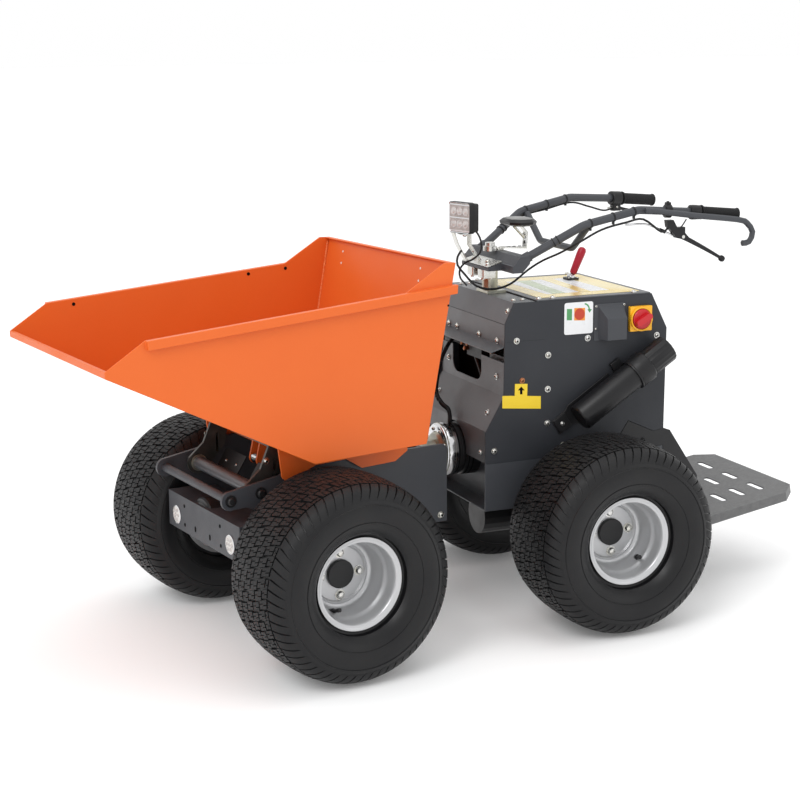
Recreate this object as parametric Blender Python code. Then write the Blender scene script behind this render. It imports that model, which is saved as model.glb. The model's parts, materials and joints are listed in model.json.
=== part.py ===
"""Articulated four-wheel site dumper: a tipping skip in front; a cabinet, a handlebar and a step at the rear.

Metres, +Z up. The front of the machine faces -Y and its left side faces +X. Shapes are written in the coordinates of
the straight machine: x = 0 is its middle plane, y = 0 lies midway between the axles and the axles are at AXLE_Z. The
front half hangs on an empty that is turned by REST_STEER, and the whole machine hangs on one empty that puts the bottom
centre of its box on the origin.
"""

from math import atan2, ceil, cos, hypot, pi, radians, sin

import bmesh
import bpy
from mathutils import Matrix, Vector

GAP = 0.0003            # between two pieces that touch
PIN_GAP = 0.0005        # round a pin or a spindle
ROUND = 20              # sides of small round pieces
FINE = 28               # sides of large round pieces

# Wheels and axles
WHEELBASE = 0.818
HALF_TRACK = 0.369
AXLE_Z = 0.254
TYRE_RADIUS = 0.249
TYRE_HALF_WIDTH = 0.133
RIM_RADIUS = 0.1035
RIM_HALF_WIDTH = 0.0905
RIM_FLANGE = 0.010
RIM_WALL = 0.005
RIM_DISC = -0.004         # outer face of the disc, out from the middle of the tyre
HUB_INNER = 0.058         # inner end of the hub, in from the middle of the tyre
AXLE_RADIUS = 0.025
SADDLE_HALF = 0.030
CASING_RADIUS = 0.060
CASING_DROP = 0.026

# Articulation between the halves
STEER_Y = -0.010
REST_STEER = radians(8.19)
SWING_Z = 0.420
PIN_RADIUS = 0.020
KNUCKLE_RADIUS = 0.034
KNUCKLE_LOW, KNUCKLE_HIGH = 0.3425, 0.4615
LUG_THICK = 0.012
SPINDLE_RADIUS = 0.025
BEARING_RADIUS = 0.072
BEARING_FRONT = 0.085
FLANGE_THICK = 0.027

# Rear body
BODY_HALF = 0.200
BODY_SHEET = 0.004
BODY_FRONT = 0.1335
BODY_REAR = 0.6605
BODY_BOTTOM = 0.294
SEAM_Z = 0.420
BODY_TOP = 0.835
TUB_FRONT = 0.186
BATTERY = (0.150, 0.250, 0.600, 0.620)  # half width, front, rear, top

# Step
STEP_TOP = 0.265
STEP_DEPTH = 0.025
STEP_SHEET = 0.004
STEP_HALF = 0.2376
STEP_FRONT = WHEELBASE / 2 + TYRE_RADIUS + 0.010
STEP_REAR = 1.081
STEP_CHAMFER = 0.047
STEP_TILT = radians(9.5)   # the front edge lies lower than the rear one
SLOT_LENGTH = 0.075
SLOT_WIDTH = 0.017
SLOT_PITCH = 0.1285
SLOT_ROW = 0.061

# Front frame
FRAME_HALF = 0.198
FRAME_SHEET = 0.010
FRAME_BOTTOM = AXLE_Z + AXLE_RADIUS + 0.0025
FRAME_TOP = 0.485
BOX_HALF = 0.210
BOX_REAR = -WHEELBASE / 2 - 0.061
BOX_FRONT = BOX_REAR - 0.125
NOSE = (BOX_REAR - 0.140, 0.421)
NOSE_RADIUS = 0.024
BAR_RADIUS = 0.011
BOX_BOTTOM, BOX_TOP = 0.265, 0.357
BOX_SHEET = 0.005

# Skip
SKIP_HALF = 0.318
SKIP_SHEET = 0.004
SKIP_LIP = (-0.9616, 0.791)
SKIP_LIP_DEPTH = 0.015
SKIP_KNEE = (-0.444, 0.5155)
SKIP_HEEL = (-0.135, 0.5255)
SKIP_CREST = (-0.051, 0.966)
SKIP_EDGE = ((-0.864, 0.853), (-0.192, 0.903), (-0.084, 0.967))
RIM_WIDTH = 0.012
RIM_DEPTH = 0.022
RIM_SHARE = 1.21         # length of the rolled rim, over the straight part of the edge
TIP_PIVOT = (-0.530, 0.430)
LUG_RADIUS = 0.030
LUG_X = 0.164

# Tip cylinder, in the middle plane: foot pin, rod eye
TIP_FOOT = (-0.130, FRAME_BOTTOM + 0.0185)
TIP_EYE = (-0.437, 0.462)
TIP_BORE = 0.022
TIP_ROD = 0.011

# Steering cylinder: foot on the front frame, eye beside the knuckle's horn
STEER_FOOT = (-0.135, -0.270)
HORN = (-0.105, 0.055)
STEER_CYLINDER_Z = 0.405
STEER_BORE = 0.018
STEER_ROD = 0.009

# Handlebar
BAR_Y = 0.240
TUBE_RADIUS = 0.011
CROSS_RADIUS = 0.85 * TUBE_RADIUS
CROSS_SEAT = TUBE_RADIUS + 0.353 * CROSS_RADIUS - 0.0014  # from a tube's middle to the cross tube's slanting end
GUARD_RADIUS = 0.008
TUBE_START = (0.1345, 0.2905, 0.9445)
TUBE_LOW = (0.184, 0.420, 1.0227)
TUBE_HIGH = (0.189, 0.577, 1.0545)
GRIP_START = (0.208, 0.752, 1.0430)
GRIP_END = (0.217, 0.860, 1.0330)
GRIP_RADIUS = 0.0155
GRIP_CLEAR = 0.0004
BEND = 0.060

# Document tube on the left panel
ROLL_X = BODY_HALF + 0.0445
ROLL_START = (ROLL_X, 0.382, 0.5290)
ROLL_END = (ROLL_X, 0.641, 0.6960)
ROLL_RADIUS = 0.0365
ROLL_COLLAR = 0.0430

FINISHES = {
    "orange": ((0.75, 0.14, 0.03), 0.0, 0.35),
    "anthracite": ((0.05, 0.05, 0.055), 0.0, 0.45),
    "black": ((0.012, 0.012, 0.013), 0.0, 0.5),
    "rubber": ((0.015, 0.015, 0.016), 0.0, 0.75),
    "silver": ((0.60, 0.60, 0.60), 0.9, 0.3),
    "zinc": ((0.62, 0.60, 0.52), 0.9, 0.35),
    "chrome": ((0.8, 0.8, 0.8), 1.0, 0.12),
    "red": ((0.45, 0.01, 0.03), 0.0, 0.35),
    "yellow": ((0.80, 0.50, 0.02), 0.0, 0.4),
    "grey": ((0.25, 0.25, 0.25), 0.0, 0.6),
    "lens": ((0.8, 0.8, 0.8), 0.0, 0.15),
}


# ---------------------------------------------------------------- shapes

def solid(mesh):
    """The bmesh with its faces turned outwards."""
    bmesh.ops.recalc_face_normals(mesh, faces=mesh.faces)
    return mesh


def prism(outline, axis, low, high):
    """An outline of (a, b) points pushed along an axis: X takes (y, z), Y takes (x, z) and Z takes (x, y)."""
    place = {"X": lambda a, b, t: (t, a, b), "Y": lambda a, b, t: (a, t, b), "Z": lambda a, b, t: (a, b, t)}[axis]
    mesh = bmesh.new()
    ends = [[mesh.verts.new(place(a, b, t)) for a, b in outline] for t in (low, high)]
    for end in ends:
        mesh.faces.new(end)
    count = len(outline)
    for i in range(count):
        j = (i + 1) % count
        mesh.faces.new((ends[0][i], ends[0][j], ends[1][j], ends[1][i]))
    return solid(mesh)


def box(x, y, z):
    """A box between two values on each axis."""
    return prism([(x[0], y[0]), (x[1], y[0]), (x[1], y[1]), (x[0], y[1])], "Z", z[0], z[1])


def turned(profile, start, direction, sides=ROUND):
    """A closed profile of (distance along, radius) points turned round the line from start along direction."""
    mesh = bmesh.new()
    turn = Vector((1, 0, 0)).rotation_difference(Vector(direction)).to_matrix().to_4x4()
    place = Matrix.Translation(start) @ turn
    rings = []
    for along, radius in profile:
        if radius == 0:
            rings.append([mesh.verts.new(place @ Vector((along, 0, 0)))])
            continue
        angles = [2 * pi * i / sides for i in range(sides)]
        rings.append([mesh.verts.new(place @ Vector((along, radius * sin(a), radius * cos(a)))) for a in angles])
    pairs = list(zip(rings, rings[1:] + rings[:1]))
    for one, two in pairs:
        for i in range(sides):
            j = (i + 1) % sides
            corners = [one[i % len(one)], one[j % len(one)], two[j % len(two)], two[i % len(two)]]
            corners = list(dict.fromkeys(corners))
            if len(corners) > 2:
                mesh.faces.new(corners)
    return solid(mesh)


def rod(start, end, radius, sides=ROUND):
    """A plain round bar between two points."""
    span = Vector(end) - Vector(start)
    return turned([(0, 0), (0, radius), (span.length, radius), (span.length, 0)], start, span, sides)


def pipe(start, end, inner, outer, sides=ROUND):
    """A round sleeve between two points."""
    span = Vector(end) - Vector(start)
    return turned([(0, inner), (0, outer), (span.length, outer), (span.length, inner)], start, span, sides)


def arc(centre, radius, first, last, steps=8):
    """Points on an arc, from the first to the last angle in degrees."""
    angles = [radians(first + (last - first) * i / steps) for i in range(steps + 1)]
    return [(centre[0] + radius * cos(a), centre[1] + radius * sin(a)) for a in angles]


def round_slot(centre, length, width, steps=6):
    """The outline of a slot with round ends, its length along the first axis."""
    radius, half = width / 2, (length - width) / 2
    right = arc((centre[0] + half, centre[1]), radius, -90, 90, steps)
    left = arc((centre[0] - half, centre[1]), radius, 90, 270, steps)
    return right + left


def between(one, two, share):
    """The point this share of the way from one to two."""
    return tuple(a + (b - a) * share for a, b in zip(one, two))


def mirrored(point):
    return (-point[0], *point[1:])


# ---------------------------------------------------------------- bodies and objects

class Body:
    """An empty on a joint's axis, which carries the pieces that move together."""

    def __init__(self, name, origin, parent=None, turn=None):
        self.origin = Vector(origin)
        self.empty = bpy.data.objects.new(name, None)
        bpy.context.scene.collection.objects.link(self.empty)
        self.empty.empty_display_size = 0.05
        self.empty.location = self.origin - (parent.origin if parent else Vector())
        if parent:
            self.empty.parent = parent.empty
        if turn:
            self.empty.rotation_euler = turn


def finish_of(name, finish):
    colour, metallic, roughness = FINISHES[finish]
    material = bpy.data.materials.new(name)
    material.use_nodes = True
    shader = material.node_tree.nodes["Principled BSDF"]
    shader.inputs["Base Color"].default_value = (*colour, 1.0)
    shader.inputs["Metallic"].default_value = metallic
    shader.inputs["Roughness"].default_value = roughness
    return material


def placed(name, shape, body):
    """A mesh object whose origin is its body's, from a shape in the straight machine's coordinates."""
    bmesh.ops.translate(shape, verts=shape.verts, vec=-body.origin)
    data = bpy.data.meshes.new(name)
    shape.to_mesh(data)
    shape.free()
    obj = bpy.data.objects.new(name, data)
    bpy.context.scene.collection.objects.link(obj)
    obj.parent = body.empty
    return obj


def add(name, shape, finish, body, join=(), cut=(), smooth=False):
    """One named sub-part. Its other shapes are joined to it or cut from it, in that order."""
    obj = placed(name, shape, body)
    obj.data.materials.append(finish_of(name, finish))
    if smooth:
        obj.data.shade_smooth()
        obj.data.set_sharp_from_angle(angle=radians(35))
    for operation, shapes in (("UNION", join), ("DIFFERENCE", cut)):
        for number, other in enumerate(shapes):
            helper = placed(f"{name}_{operation.lower()}_{number}", other, body)
            helper.hide_render = True
            helper.display_type = "WIRE"
            modifier = obj.modifiers.new(helper.name, "BOOLEAN")
            modifier.operation = operation
            modifier.object = helper
    return obj


def rounded_route(points, bend, steps=5):
    """The route with each inner corner replaced by an arc of the bend radius."""
    points = [Vector(p) for p in points]
    route = [points[0]]
    for before, corner, after in zip(points, points[1:], points[2:]):
        back, ahead = (before - corner).normalized(), (after - corner).normalized()
        half = back.angle(ahead) / 2
        reach = min(bend / max(sin(half) / cos(half), 0.01), (before - corner).length / 2, (after - corner).length / 2)
        first, last = corner + back * reach, corner + ahead * reach
        for i in range(steps + 1):
            t = i / steps
            route.append(first * (1 - t) ** 2 + corner * 2 * t * (1 - t) + last * t ** 2)
    route.append(points[-1])
    return route


def smooth_route(points, spacing):
    """Points at an even spacing on a Catmull-Rom curve through the route's own points."""
    points = [Vector(p) for p in points]
    padded = [points[0] * 2 - points[1], *points, points[-1] * 2 - points[-2]]
    route = []
    for a, b, c, d in zip(padded, padded[1:], padded[2:], padded[3:]):
        steps = max(2, ceil((c - b).length / spacing))
        for i in range(steps):
            t = i / steps
            route.append(0.5 * (2 * b + (c - a) * t + (2 * a - 5 * b + 4 * c - d) * t ** 2
                                + (3 * b - a - 3 * c + d) * t ** 3))
    route.append(points[-1])
    return route


def tube(name, route, radius, finish, body, resolution=3):
    """A round bar or cable along a route, as a bevelled curve with filled caps."""
    data = bpy.data.curves.new(name, "CURVE")
    data.dimensions = "3D"
    data.bevel_depth = radius
    data.bevel_resolution = resolution
    data.use_fill_caps = True
    spline = data.splines.new("POLY")
    spline.points.add(len(route) - 1)
    for point, place in zip(spline.points, route):
        point.co = (*(place - body.origin), 1.0)
    spline.use_smooth = True
    data.materials.append(finish_of(name, finish))
    obj = bpy.data.objects.new(name, data)
    bpy.context.scene.collection.objects.link(obj)
    obj.parent = body.empty
    return obj


# ---------------------------------------------------------------- wheels and axles

def wheel(place, side, axle_y, parent):
    """A turf tyre on a deep rim with its hub, turning on an empty at its centre. Side is +1 on the left."""
    centre = (side * HALF_TRACK, axle_y, AXLE_Z)
    body = Body(f"{place}_wheel_axis", centre, parent)
    edge = RIM_HALF_WIDTH - GAP
    bead = RIM_RADIUS + RIM_FLANGE + 2 * GAP
    crown, wide = TYRE_RADIUS, TYRE_HALF_WIDTH
    half = [
        (edge, RIM_RADIUS + 2 * GAP), (edge, bead), (wide * 0.77, bead + 0.006), (wide * 0.95, 0.148),
        (wide, 0.178), (wide * 0.95, crown - 0.041), (wide * 0.84, crown - 0.020), (wide * 0.66, crown - 0.008),
        (wide * 0.35, crown),
    ]
    profile = half + [(-x, r) for x, r in reversed(half)]
    add(f"{place}_tyre", turned(profile, centre, (side, 0, 0), FINE), "rubber", body, smooth=True)
    flange = RIM_HALF_WIDTH + RIM_WALL
    inside = RIM_RADIUS - RIM_WALL
    disc = RIM_DISC
    hub = 0.034
    profile = [
        (-flange, inside), (-flange, RIM_RADIUS + RIM_FLANGE), (-RIM_HALF_WIDTH, RIM_RADIUS + RIM_FLANGE),
        (-RIM_HALF_WIDTH, RIM_RADIUS), (RIM_HALF_WIDTH, RIM_RADIUS), (RIM_HALF_WIDTH, RIM_RADIUS + RIM_FLANGE),
        (flange, RIM_RADIUS + RIM_FLANGE), (flange, inside), (disc, inside), (disc, 0.0375), (disc + 0.006, 0.0375),
        (disc + 0.009, 0.033), (disc + 0.009, 0), (-HUB_INNER, 0), (-HUB_INNER, hub), (disc - 0.008, hub),
        (disc - 0.008, inside),
    ]
    add(f"{place}_rim", turned(profile, centre, (side, 0, 0), FINE), "silver", body, smooth=True)


def axle(name, axle_y, motor_way, saddle_top, saddle_x, body):
    """An axle beam between the hubs, with its gear casing, a motor along the machine and two saddles on top."""
    end = HALF_TRACK - HUB_INNER - GAP
    beam = [(-end, 0), (-end, 0.044), (-end + 0.012, 0.044), (-end + 0.014, AXLE_RADIUS), (end - 0.014, AXLE_RADIUS),
            (end - 0.012, 0.044), (end, 0.044), (end, 0)]
    casing_z = AXLE_Z - CASING_DROP
    casing = [(-0.070, 0), (-0.070, 0.044), (-0.056, CASING_RADIUS), (0.056, CASING_RADIUS), (0.070, 0.044), (0.070, 0)]
    motor = rod((0, axle_y, casing_z), (0, axle_y + motor_way * 0.205, casing_z), 0.052)
    saddles = [box((side * saddle_x - 0.014, side * saddle_x + 0.014), (axle_y - SADDLE_HALF, axle_y + SADDLE_HALF),
                   (AXLE_Z - 0.014, saddle_top)) for side in (-1, 1)]
    add(name, turned(beam, (0, axle_y, AXLE_Z), (1, 0, 0)), "anthracite", body,
        join=[turned(casing, (0, axle_y, casing_z), (1, 0, 0)), motor, *saddles], smooth=True)


# ---------------------------------------------------------------- rear body

def rear_chassis(body):
    """The open tub under the cabinet, with its front wall set back behind the swing bearing."""
    half, sheet = BODY_HALF, BODY_SHEET
    top = SEAM_Z - GAP
    inner = half - sheet
    add("rear_chassis", box((-half, half), (BODY_FRONT, BODY_REAR), (BODY_BOTTOM, top)), "anthracite", body, cut=[
        box((-inner, inner), (TUB_FRONT + sheet, BODY_REAR - sheet), (BODY_BOTTOM + sheet, top + 0.1)),
        box((-inner, inner), (BODY_FRONT - 0.1, TUB_FRONT), (BODY_BOTTOM + sheet, top + 0.1)),
    ])


def side_panel(name, side, body):
    inner = BODY_HALF - BODY_SHEET
    outline = [(BODY_FRONT, SEAM_Z), (0.500, SEAM_Z), (0.552, 0.498), (0.631, 0.462), (0.6615, 0.468),
               (0.664, 0.7405), (0.616, BODY_TOP), (0.212, BODY_TOP), (0.187, 0.782), (0.185, 0.591),
               (BODY_FRONT, 0.503)]
    add(name, prism(outline, "X", *sorted((side * inner, side * BODY_HALF))), "anthracite", body)


def covers(body):
    """The folded sheets between the side panels: two in front, one on top and one behind."""
    inner = BODY_HALF - BODY_SHEET - GAP
    sheet = 0.003
    upper = [(0.275, BODY_TOP), (0.214, BODY_TOP), (0.190, 0.782), (0.190, 0.724), (0.150, 0.712),
             (0.150, 0.712 - sheet), (0.193, 0.7215), (0.193, 0.781), (0.216, BODY_TOP - sheet),
             (0.275, BODY_TOP - sheet)]
    add("front_upper_cover", prism(upper, "X", -inner, inner), "anthracite", body)
    lower = [(0.192, 0.680), (0.189, 0.680), (0.189, 0.592), (0.137, 0.505), (0.137, SEAM_Z), (0.140, SEAM_Z),
             (0.140, 0.504), (0.192, 0.591)]
    left, right, foot, corner = -0.124, 0.056, 0.608, 0.030
    window = [(left, 0.700), *arc((left + corner, foot + corner), corner, 180, 270, 4),
              *arc((right - corner, foot + corner), corner, -90, 0, 4), (right, 0.700)]
    bearing = rod((0, 0.10, SWING_Z), (0, 0.18, SWING_Z), BEARING_RADIUS + 0.004, FINE)
    add("front_lower_cover", prism(lower, "X", -inner, inner), "anthracite", body,
        cut=[prism(window, "Y", 0.16, 0.22), bearing])
    add("top_cover", box((-BODY_HALF, BODY_HALF), (0.278, 0.612), (BODY_TOP + GAP, BODY_TOP + 0.0035)),
        "anthracite", body)
    rear = [(0.600, BODY_TOP), (0.615, BODY_TOP), (0.662, 0.742), (0.6595, 0.470), (0.6595, SEAM_Z),
            (0.6565, SEAM_Z), (0.6565, 0.470), (0.659, 0.741), (0.6135, BODY_TOP - sheet), (0.600, BODY_TOP - sheet)]
    add("rear_cover", prism(rear, "X", -inner, inner), "anthracite", body)


def step_z(y):
    """Height of the platform's top face."""
    return STEP_TOP - (STEP_REAR - y) * sin(STEP_TILT) / cos(STEP_TILT)


def step(body):
    """The ride-on platform: a slotted plate with folded edges, on two side plates under the cabinet."""
    def outline(inset):
        half, front, rear = STEP_HALF - inset, STEP_FRONT + inset, STEP_REAR - inset
        corner = STEP_CHAMFER
        return [(-half, front), (half, front), (half, rear - corner), (half - corner, rear),
                (-half + corner, rear), (-half, rear - corner)]

    slots = []
    for row in range(4):
        y = 1.006 - row * SLOT_ROW
        first = -0.128
        for number in range(3):
            slot = round_slot((first + number * SLOT_PITCH, y), SLOT_LENGTH, SLOT_WIDTH, 4)
            slots.append(prism(slot, "Z", STEP_TOP - 0.02, STEP_TOP + 0.02))
    under = prism(outline(STEP_SHEET), "Z", STEP_TOP - STEP_DEPTH - 0.02, STEP_TOP - STEP_SHEET)
    plate = prism(outline(0), "Z", STEP_TOP - STEP_DEPTH, STEP_TOP)
    hinge = Matrix.Translation((0, STEP_REAR, STEP_TOP))
    tilt = hinge @ Matrix.Rotation(STEP_TILT, 4, "X") @ hinge.inverted()
    for shape in (plate, under, *slots):
        bmesh.ops.transform(shape, verts=shape.verts, matrix=tilt)
    add("step_platform", plate, "anthracite", body, cut=[under, *slots])
    seat = GAP + 0.0002
    plate = [(0.502, SEAM_Z), (0.5525, 0.498 - 2 * seat), (0.631, 0.462 - seat), (0.662, 0.468 - seat),
             (0.682, 0.460), (0.771, 0.326), (0.771, step_z(0.771) + GAP), (0.690, step_z(0.690) + GAP),
             (BODY_REAR + GAP, 0.300), (BODY_REAR + GAP, SEAM_Z)]
    for name, side in (("step_side_plate_left", 1), ("step_side_plate_right", -1)):
        ends = sorted((side * (BODY_HALF - BODY_SHEET), side * BODY_HALF))
        add(name, prism(plate, "X", *ends), "black", body)


def document_tube(body):
    """A capped document tube on the left panel, held by a tab at its foot and a bracket under its collar."""
    start, end = Vector(ROLL_START), Vector(ROLL_END)
    way = (end - start).normalized()
    length = (end - start).length
    collar = length * 0.62
    cap = ROLL_RADIUS + 0.001
    tube_profile = [(0, 0), (0, ROLL_RADIUS), (collar, ROLL_RADIUS), (collar, ROLL_COLLAR),
                    (collar + 0.040, ROLL_COLLAR), (collar + 0.040, ROLL_RADIUS - 0.004),
                    (collar + 0.045, ROLL_RADIUS - 0.004), (collar + 0.045, cap), (length - 0.004, cap),
                    (length, cap - 0.004), (length, 0)]
    skin = BODY_HALF + GAP
    low = start.yz - way.yz * 0.060
    across = Vector((-way.z, way.y))
    tab = [tuple(low + across * a + way.yz * b) for a, b in ((-0.024, 0), (0.024, 0), (0.024, 0.10), (-0.024, 0.10))]
    mid = start.yz + way.yz * (collar - 0.03)
    block = [tuple(mid + across * a + way.yz * b) for a, b in ((-0.02, 0), (0.02, 0), (0.02, 0.025), (-0.02, 0.025))]
    add("document_tube", turned(tube_profile, start, way, FINE), "black", body, join=[
        prism(tab, "X", skin, skin + 0.010), prism(block, "X", skin, ROLL_X - 0.01),
    ], smooth=True)


def fittings(body):
    """The socket cover, the main switch, the parking lever, the battery and the swing bearing's housing."""
    skin = BODY_HALF + GAP
    hood = [(skin, 0.813), (skin + 0.004, 0.813), (skin + 0.030, 0.785), (skin + 0.030, 0.723), (skin, 0.723)]
    add("socket_cover", prism(hood, "Y", 0.455, 0.528), "anthracite", body)
    plate = box((skin, skin + 0.010), (0.546, 0.612), (0.738, 0.806))
    dial = turned([(0, 0), (0, 0.031), (0.010, 0.031), (0.012, 0.027), (0.026, 0.024), (0.026, 0)],
                  (skin + 0.008, 0.580, 0.771), (1, 0, 0))
    add("main_switch", plate, "red", body, join=[dial], smooth=True)
    foot = Vector((-0.088, 0.530, BODY_TOP + 0.0035 + GAP))
    lean = Vector((0, 0.034, 0.076)).normalized()
    lever = turned([(0, 0), (0, 0.006), (0.016, 0.006), (0.018, 0.010), (0.084, 0.012), (0.092, 0.007), (0.092, 0)],
                   foot + Vector((0, 0, 0.004)), lean)
    add("parking_lever", box((foot.x - 0.018, foot.x + 0.018), (0.512, 0.548), (foot.z, foot.z + 0.010)), "red", body,
        join=[lever], smooth=True)
    half, front, rear, top = BATTERY
    add("battery", box((-half, half), (front, rear), (BODY_BOTTOM + BODY_SHEET + GAP, top)), "grey", body)
    bearing = BEARING_FRONT + FLANGE_THICK + PIN_GAP
    bore = SPINDLE_RADIUS + PIN_GAP
    ring = [(0, bore), (0, BEARING_RADIUS - 0.002), (0.020, BEARING_RADIUS - 0.002), (0.022, BEARING_RADIUS - 0.006),
            (0.028, BEARING_RADIUS - 0.006), (0.030, BEARING_RADIUS), (TUB_FRONT - GAP - bearing, BEARING_RADIUS),
            (TUB_FRONT - GAP - bearing, bore)]
    add("swing_bearing", turned(ring, (0, bearing, SWING_Z), (0, 1, 0), FINE), "black", body, smooth=True)
    hose = [(-0.112, 0.188, 0.698), (-0.116, 0.172, 0.680), (-0.110, 0.150, 0.645), (-0.100, 0.133, 0.598),
            (-0.084, 0.122, 0.556), (-0.046, 0.121, 0.534), (-0.010, 0.1225, 0.526), (0.000, 0.1235, 0.510),
            (0.000, 0.1235, SWING_Z + BEARING_RADIUS - 0.002 + GAP)]
    tube("hydraulic_hose", smooth_route(hose, 0.012), 0.006, "black", body, 2)


# ---------------------------------------------------------------- handlebar

def handlebar(parent):
    """The handlebar on its upright pivot in front of the cabinet's top."""
    post_foot = BODY_TOP + GAP
    post_top = 0.902
    add("handlebar_bracket", box((-0.034, 0.034), (BAR_Y - 0.023, BAR_Y + 0.032), (post_foot, post_foot + 0.007)),
        "zinc", parent, join=[rod((0, BAR_Y, post_foot + 0.002), (0, BAR_Y, post_top), 0.021)], smooth=True)
    body = Body("handlebar_axis", (0, BAR_Y, post_top), parent)
    seat = post_top + GAP
    plate = [(0.196, seat), (0.262, seat), (0.284, 0.926), (0.284, 0.944), (0.256, 0.944), (0.238, 0.922),
             (0.196, 0.911)]
    flips = {"left": tuple, "right": mirrored}
    stubs = []
    for flip in flips.values():
        start = Vector(flip(TUBE_START))
        way = (Vector(flip(TUBE_LOW)) - start).normalized()
        stubs.append(rod(start - way * 0.022, start - way * GAP, 0.014))
    notches = [box(sorted((side * 0.082, side * 0.160)), (0.150, 0.234), (0.880, 0.940)) for side in (-1, 1)]
    add("handlebar_base", prism(plate, "X", -0.148, 0.148), "anthracite", body, join=stubs, cut=notches,
        smooth=True)
    for name, flip in flips.items():
        route = rounded_route([flip(p) for p in (TUBE_START, TUBE_LOW, TUBE_HIGH, GRIP_START, GRIP_END)], BEND)
        tube(f"handlebar_tube_{name}", route, TUBE_RADIUS, "anthracite", body)
        bore = TUBE_RADIUS + GRIP_CLEAR
        sleeve = [(0, bore), (0, GRIP_RADIUS + 0.004), (0.004, GRIP_RADIUS + 0.004), (0.004, GRIP_RADIUS),
                  (0.106, GRIP_RADIUS), (0.106, GRIP_RADIUS + 0.002), (0.109, GRIP_RADIUS + 0.002), (0.109, bore)]
        start, end = Vector(flip(GRIP_START)), Vector(flip(GRIP_END))
        add(f"grip_{name}", turned(sleeve, start, end - start), "rubber", body, smooth=True)
    seat = Vector(between(TUBE_LOW, TUBE_HIGH, 0.108))
    cross_low = Vector((0.091, 0.436, 0.951))
    cross_high = seat - (seat - cross_low).normalized() * CROSS_SEAT
    route = [mirrored(cross_high), mirrored(cross_low), cross_low, cross_high]
    tube("handlebar_cross_tube", rounded_route(route, 0.03), CROSS_RADIUS, "anthracite", body)
    beside = TUBE_HIGH[0] + TUBE_RADIUS + GUARD_RADIUS + 0.0014
    guard = [(beside, 0.585, 1.054), (beside + 0.0056, 0.615, 1.052), (0.2285, 0.646, 1.048), (0.243, 0.685, 1.043),
             (0.250, 0.725, 1.038), (0.250, 0.842, 1.023),
             (0.250, 0.870, 1.0126), (0.250, 0.888, 0.988), (0.250, 0.878, 0.963), (0.250, 0.857, 0.960)]
    tube("hand_guard", smooth_route(guard, 0.018), GUARD_RADIUS, "anthracite", body)
    controls(body)
    console(body)
    return body


def ring_on_tube(name, side, share, length, outer, finish, body, join=()):
    """A clamped housing round the tube, this share of the way from its upper bend to the grip."""
    flip = (lambda p: p) if side > 0 else mirrored
    high, start = Vector(flip(TUBE_HIGH)), Vector(flip(GRIP_START))
    way = (start - high).normalized()
    first = high + (start - high) * share
    bore = rod(first - way * 0.02, first + way * (length + 0.02), TUBE_RADIUS + 2 * GRIP_CLEAR)
    add(name, pipe(first, first + way * length, TUBE_RADIUS + 2 * GRIP_CLEAR, outer), finish, body,
        join=join, cut=[bore], smooth=True)


def controls(body):
    """The brake lever on the left and the throttle on the right."""
    perch = prism([(0.656, 1.040), (0.668, 1.036), (0.690, 1.000), (0.708, 0.994), (0.835, 0.918), (0.830, 0.906),
                   (0.706, 0.974), (0.684, 0.978), (0.668, 0.992), (0.654, 1.020)], "X", 0.193, 0.207)
    ball = turned([(0, 0), (0.002, 0.006), (0.009, 0.009), (0.016, 0.006), (0.018, 0)], (0.191, 0.833, 0.911),
                  (1, 0, 0), 12)
    ring_on_tube("brake_lever", 1, 0.42, 0.018, 0.018, "black", body, join=[perch, ball])
    block = box((-0.217, -0.197), (0.722, 0.746), (1.010, 1.034))
    paddle = prism([(0.738, 1.014), (0.790, 1.004), (0.790, 1.010), (0.745, 1.022)], "X", -0.212, -0.203)
    ring_on_tube("throttle_housing", -1, 0.82, 0.028, 0.0195, "black", body, join=[block, paddle])


def console(body):
    """The console pod on its slotted arm, and the work light on its strap."""
    corner = 0.020
    half_x, front, rear = 0.052, 0.282, 0.362
    pod = [(-half_x, front + corner), (-half_x + corner, front), (half_x - corner, front), (half_x, front + corner),
           (half_x, rear - corner), (half_x - corner, rear), (-half_x + corner, rear), (-half_x, rear - corner)]
    arm_top = 1.010
    pod = prism(pod, "Z", arm_top - 0.001, arm_top + 0.018)
    arm = [(0.258, 0.944 + GAP), (0.272, 0.944 + GAP), (0.276, 0.934 + 0.016), (0.344, 0.934 + 0.012), (0.346, 0.990),
           (0.330, arm_top), (0.322, arm_top), (0.342, 0.988), (0.340, 0.950), (0.274, 0.954), (0.258, 0.952)]
    add("console", prism(arm, "X", -0.012, 0.012), "black", body, join=[pod])
    half, depth, height = 0.041, 0.036, 0.082
    face = Vector((0.0, 0.150, 1.036))
    lamp = prism([(-half, 0), (half, 0), (half - 0.004, depth), (-half + 0.004, depth)], "Z", -height / 2, height / 2)
    bmesh.ops.rotate(lamp, verts=lamp.verts, matrix=Matrix.Rotation(radians(18), 3, "Z"))
    bmesh.ops.translate(lamp, verts=lamp.verts, vec=face)
    low = face.z - height / 2 + 0.002
    strap = [(0.198, 0.9119), (0.204, 0.9135), (0.204, 0.930), (0.178, 0.965), (0.178, low), (0.150, low),
             (0.150, low - 0.004), (0.173, low - 0.004), (0.173, 0.962), (0.198, 0.928)]
    add("work_light", lamp, "black", body, join=[prism(strap, "X", -0.010, 0.010)])


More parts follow.
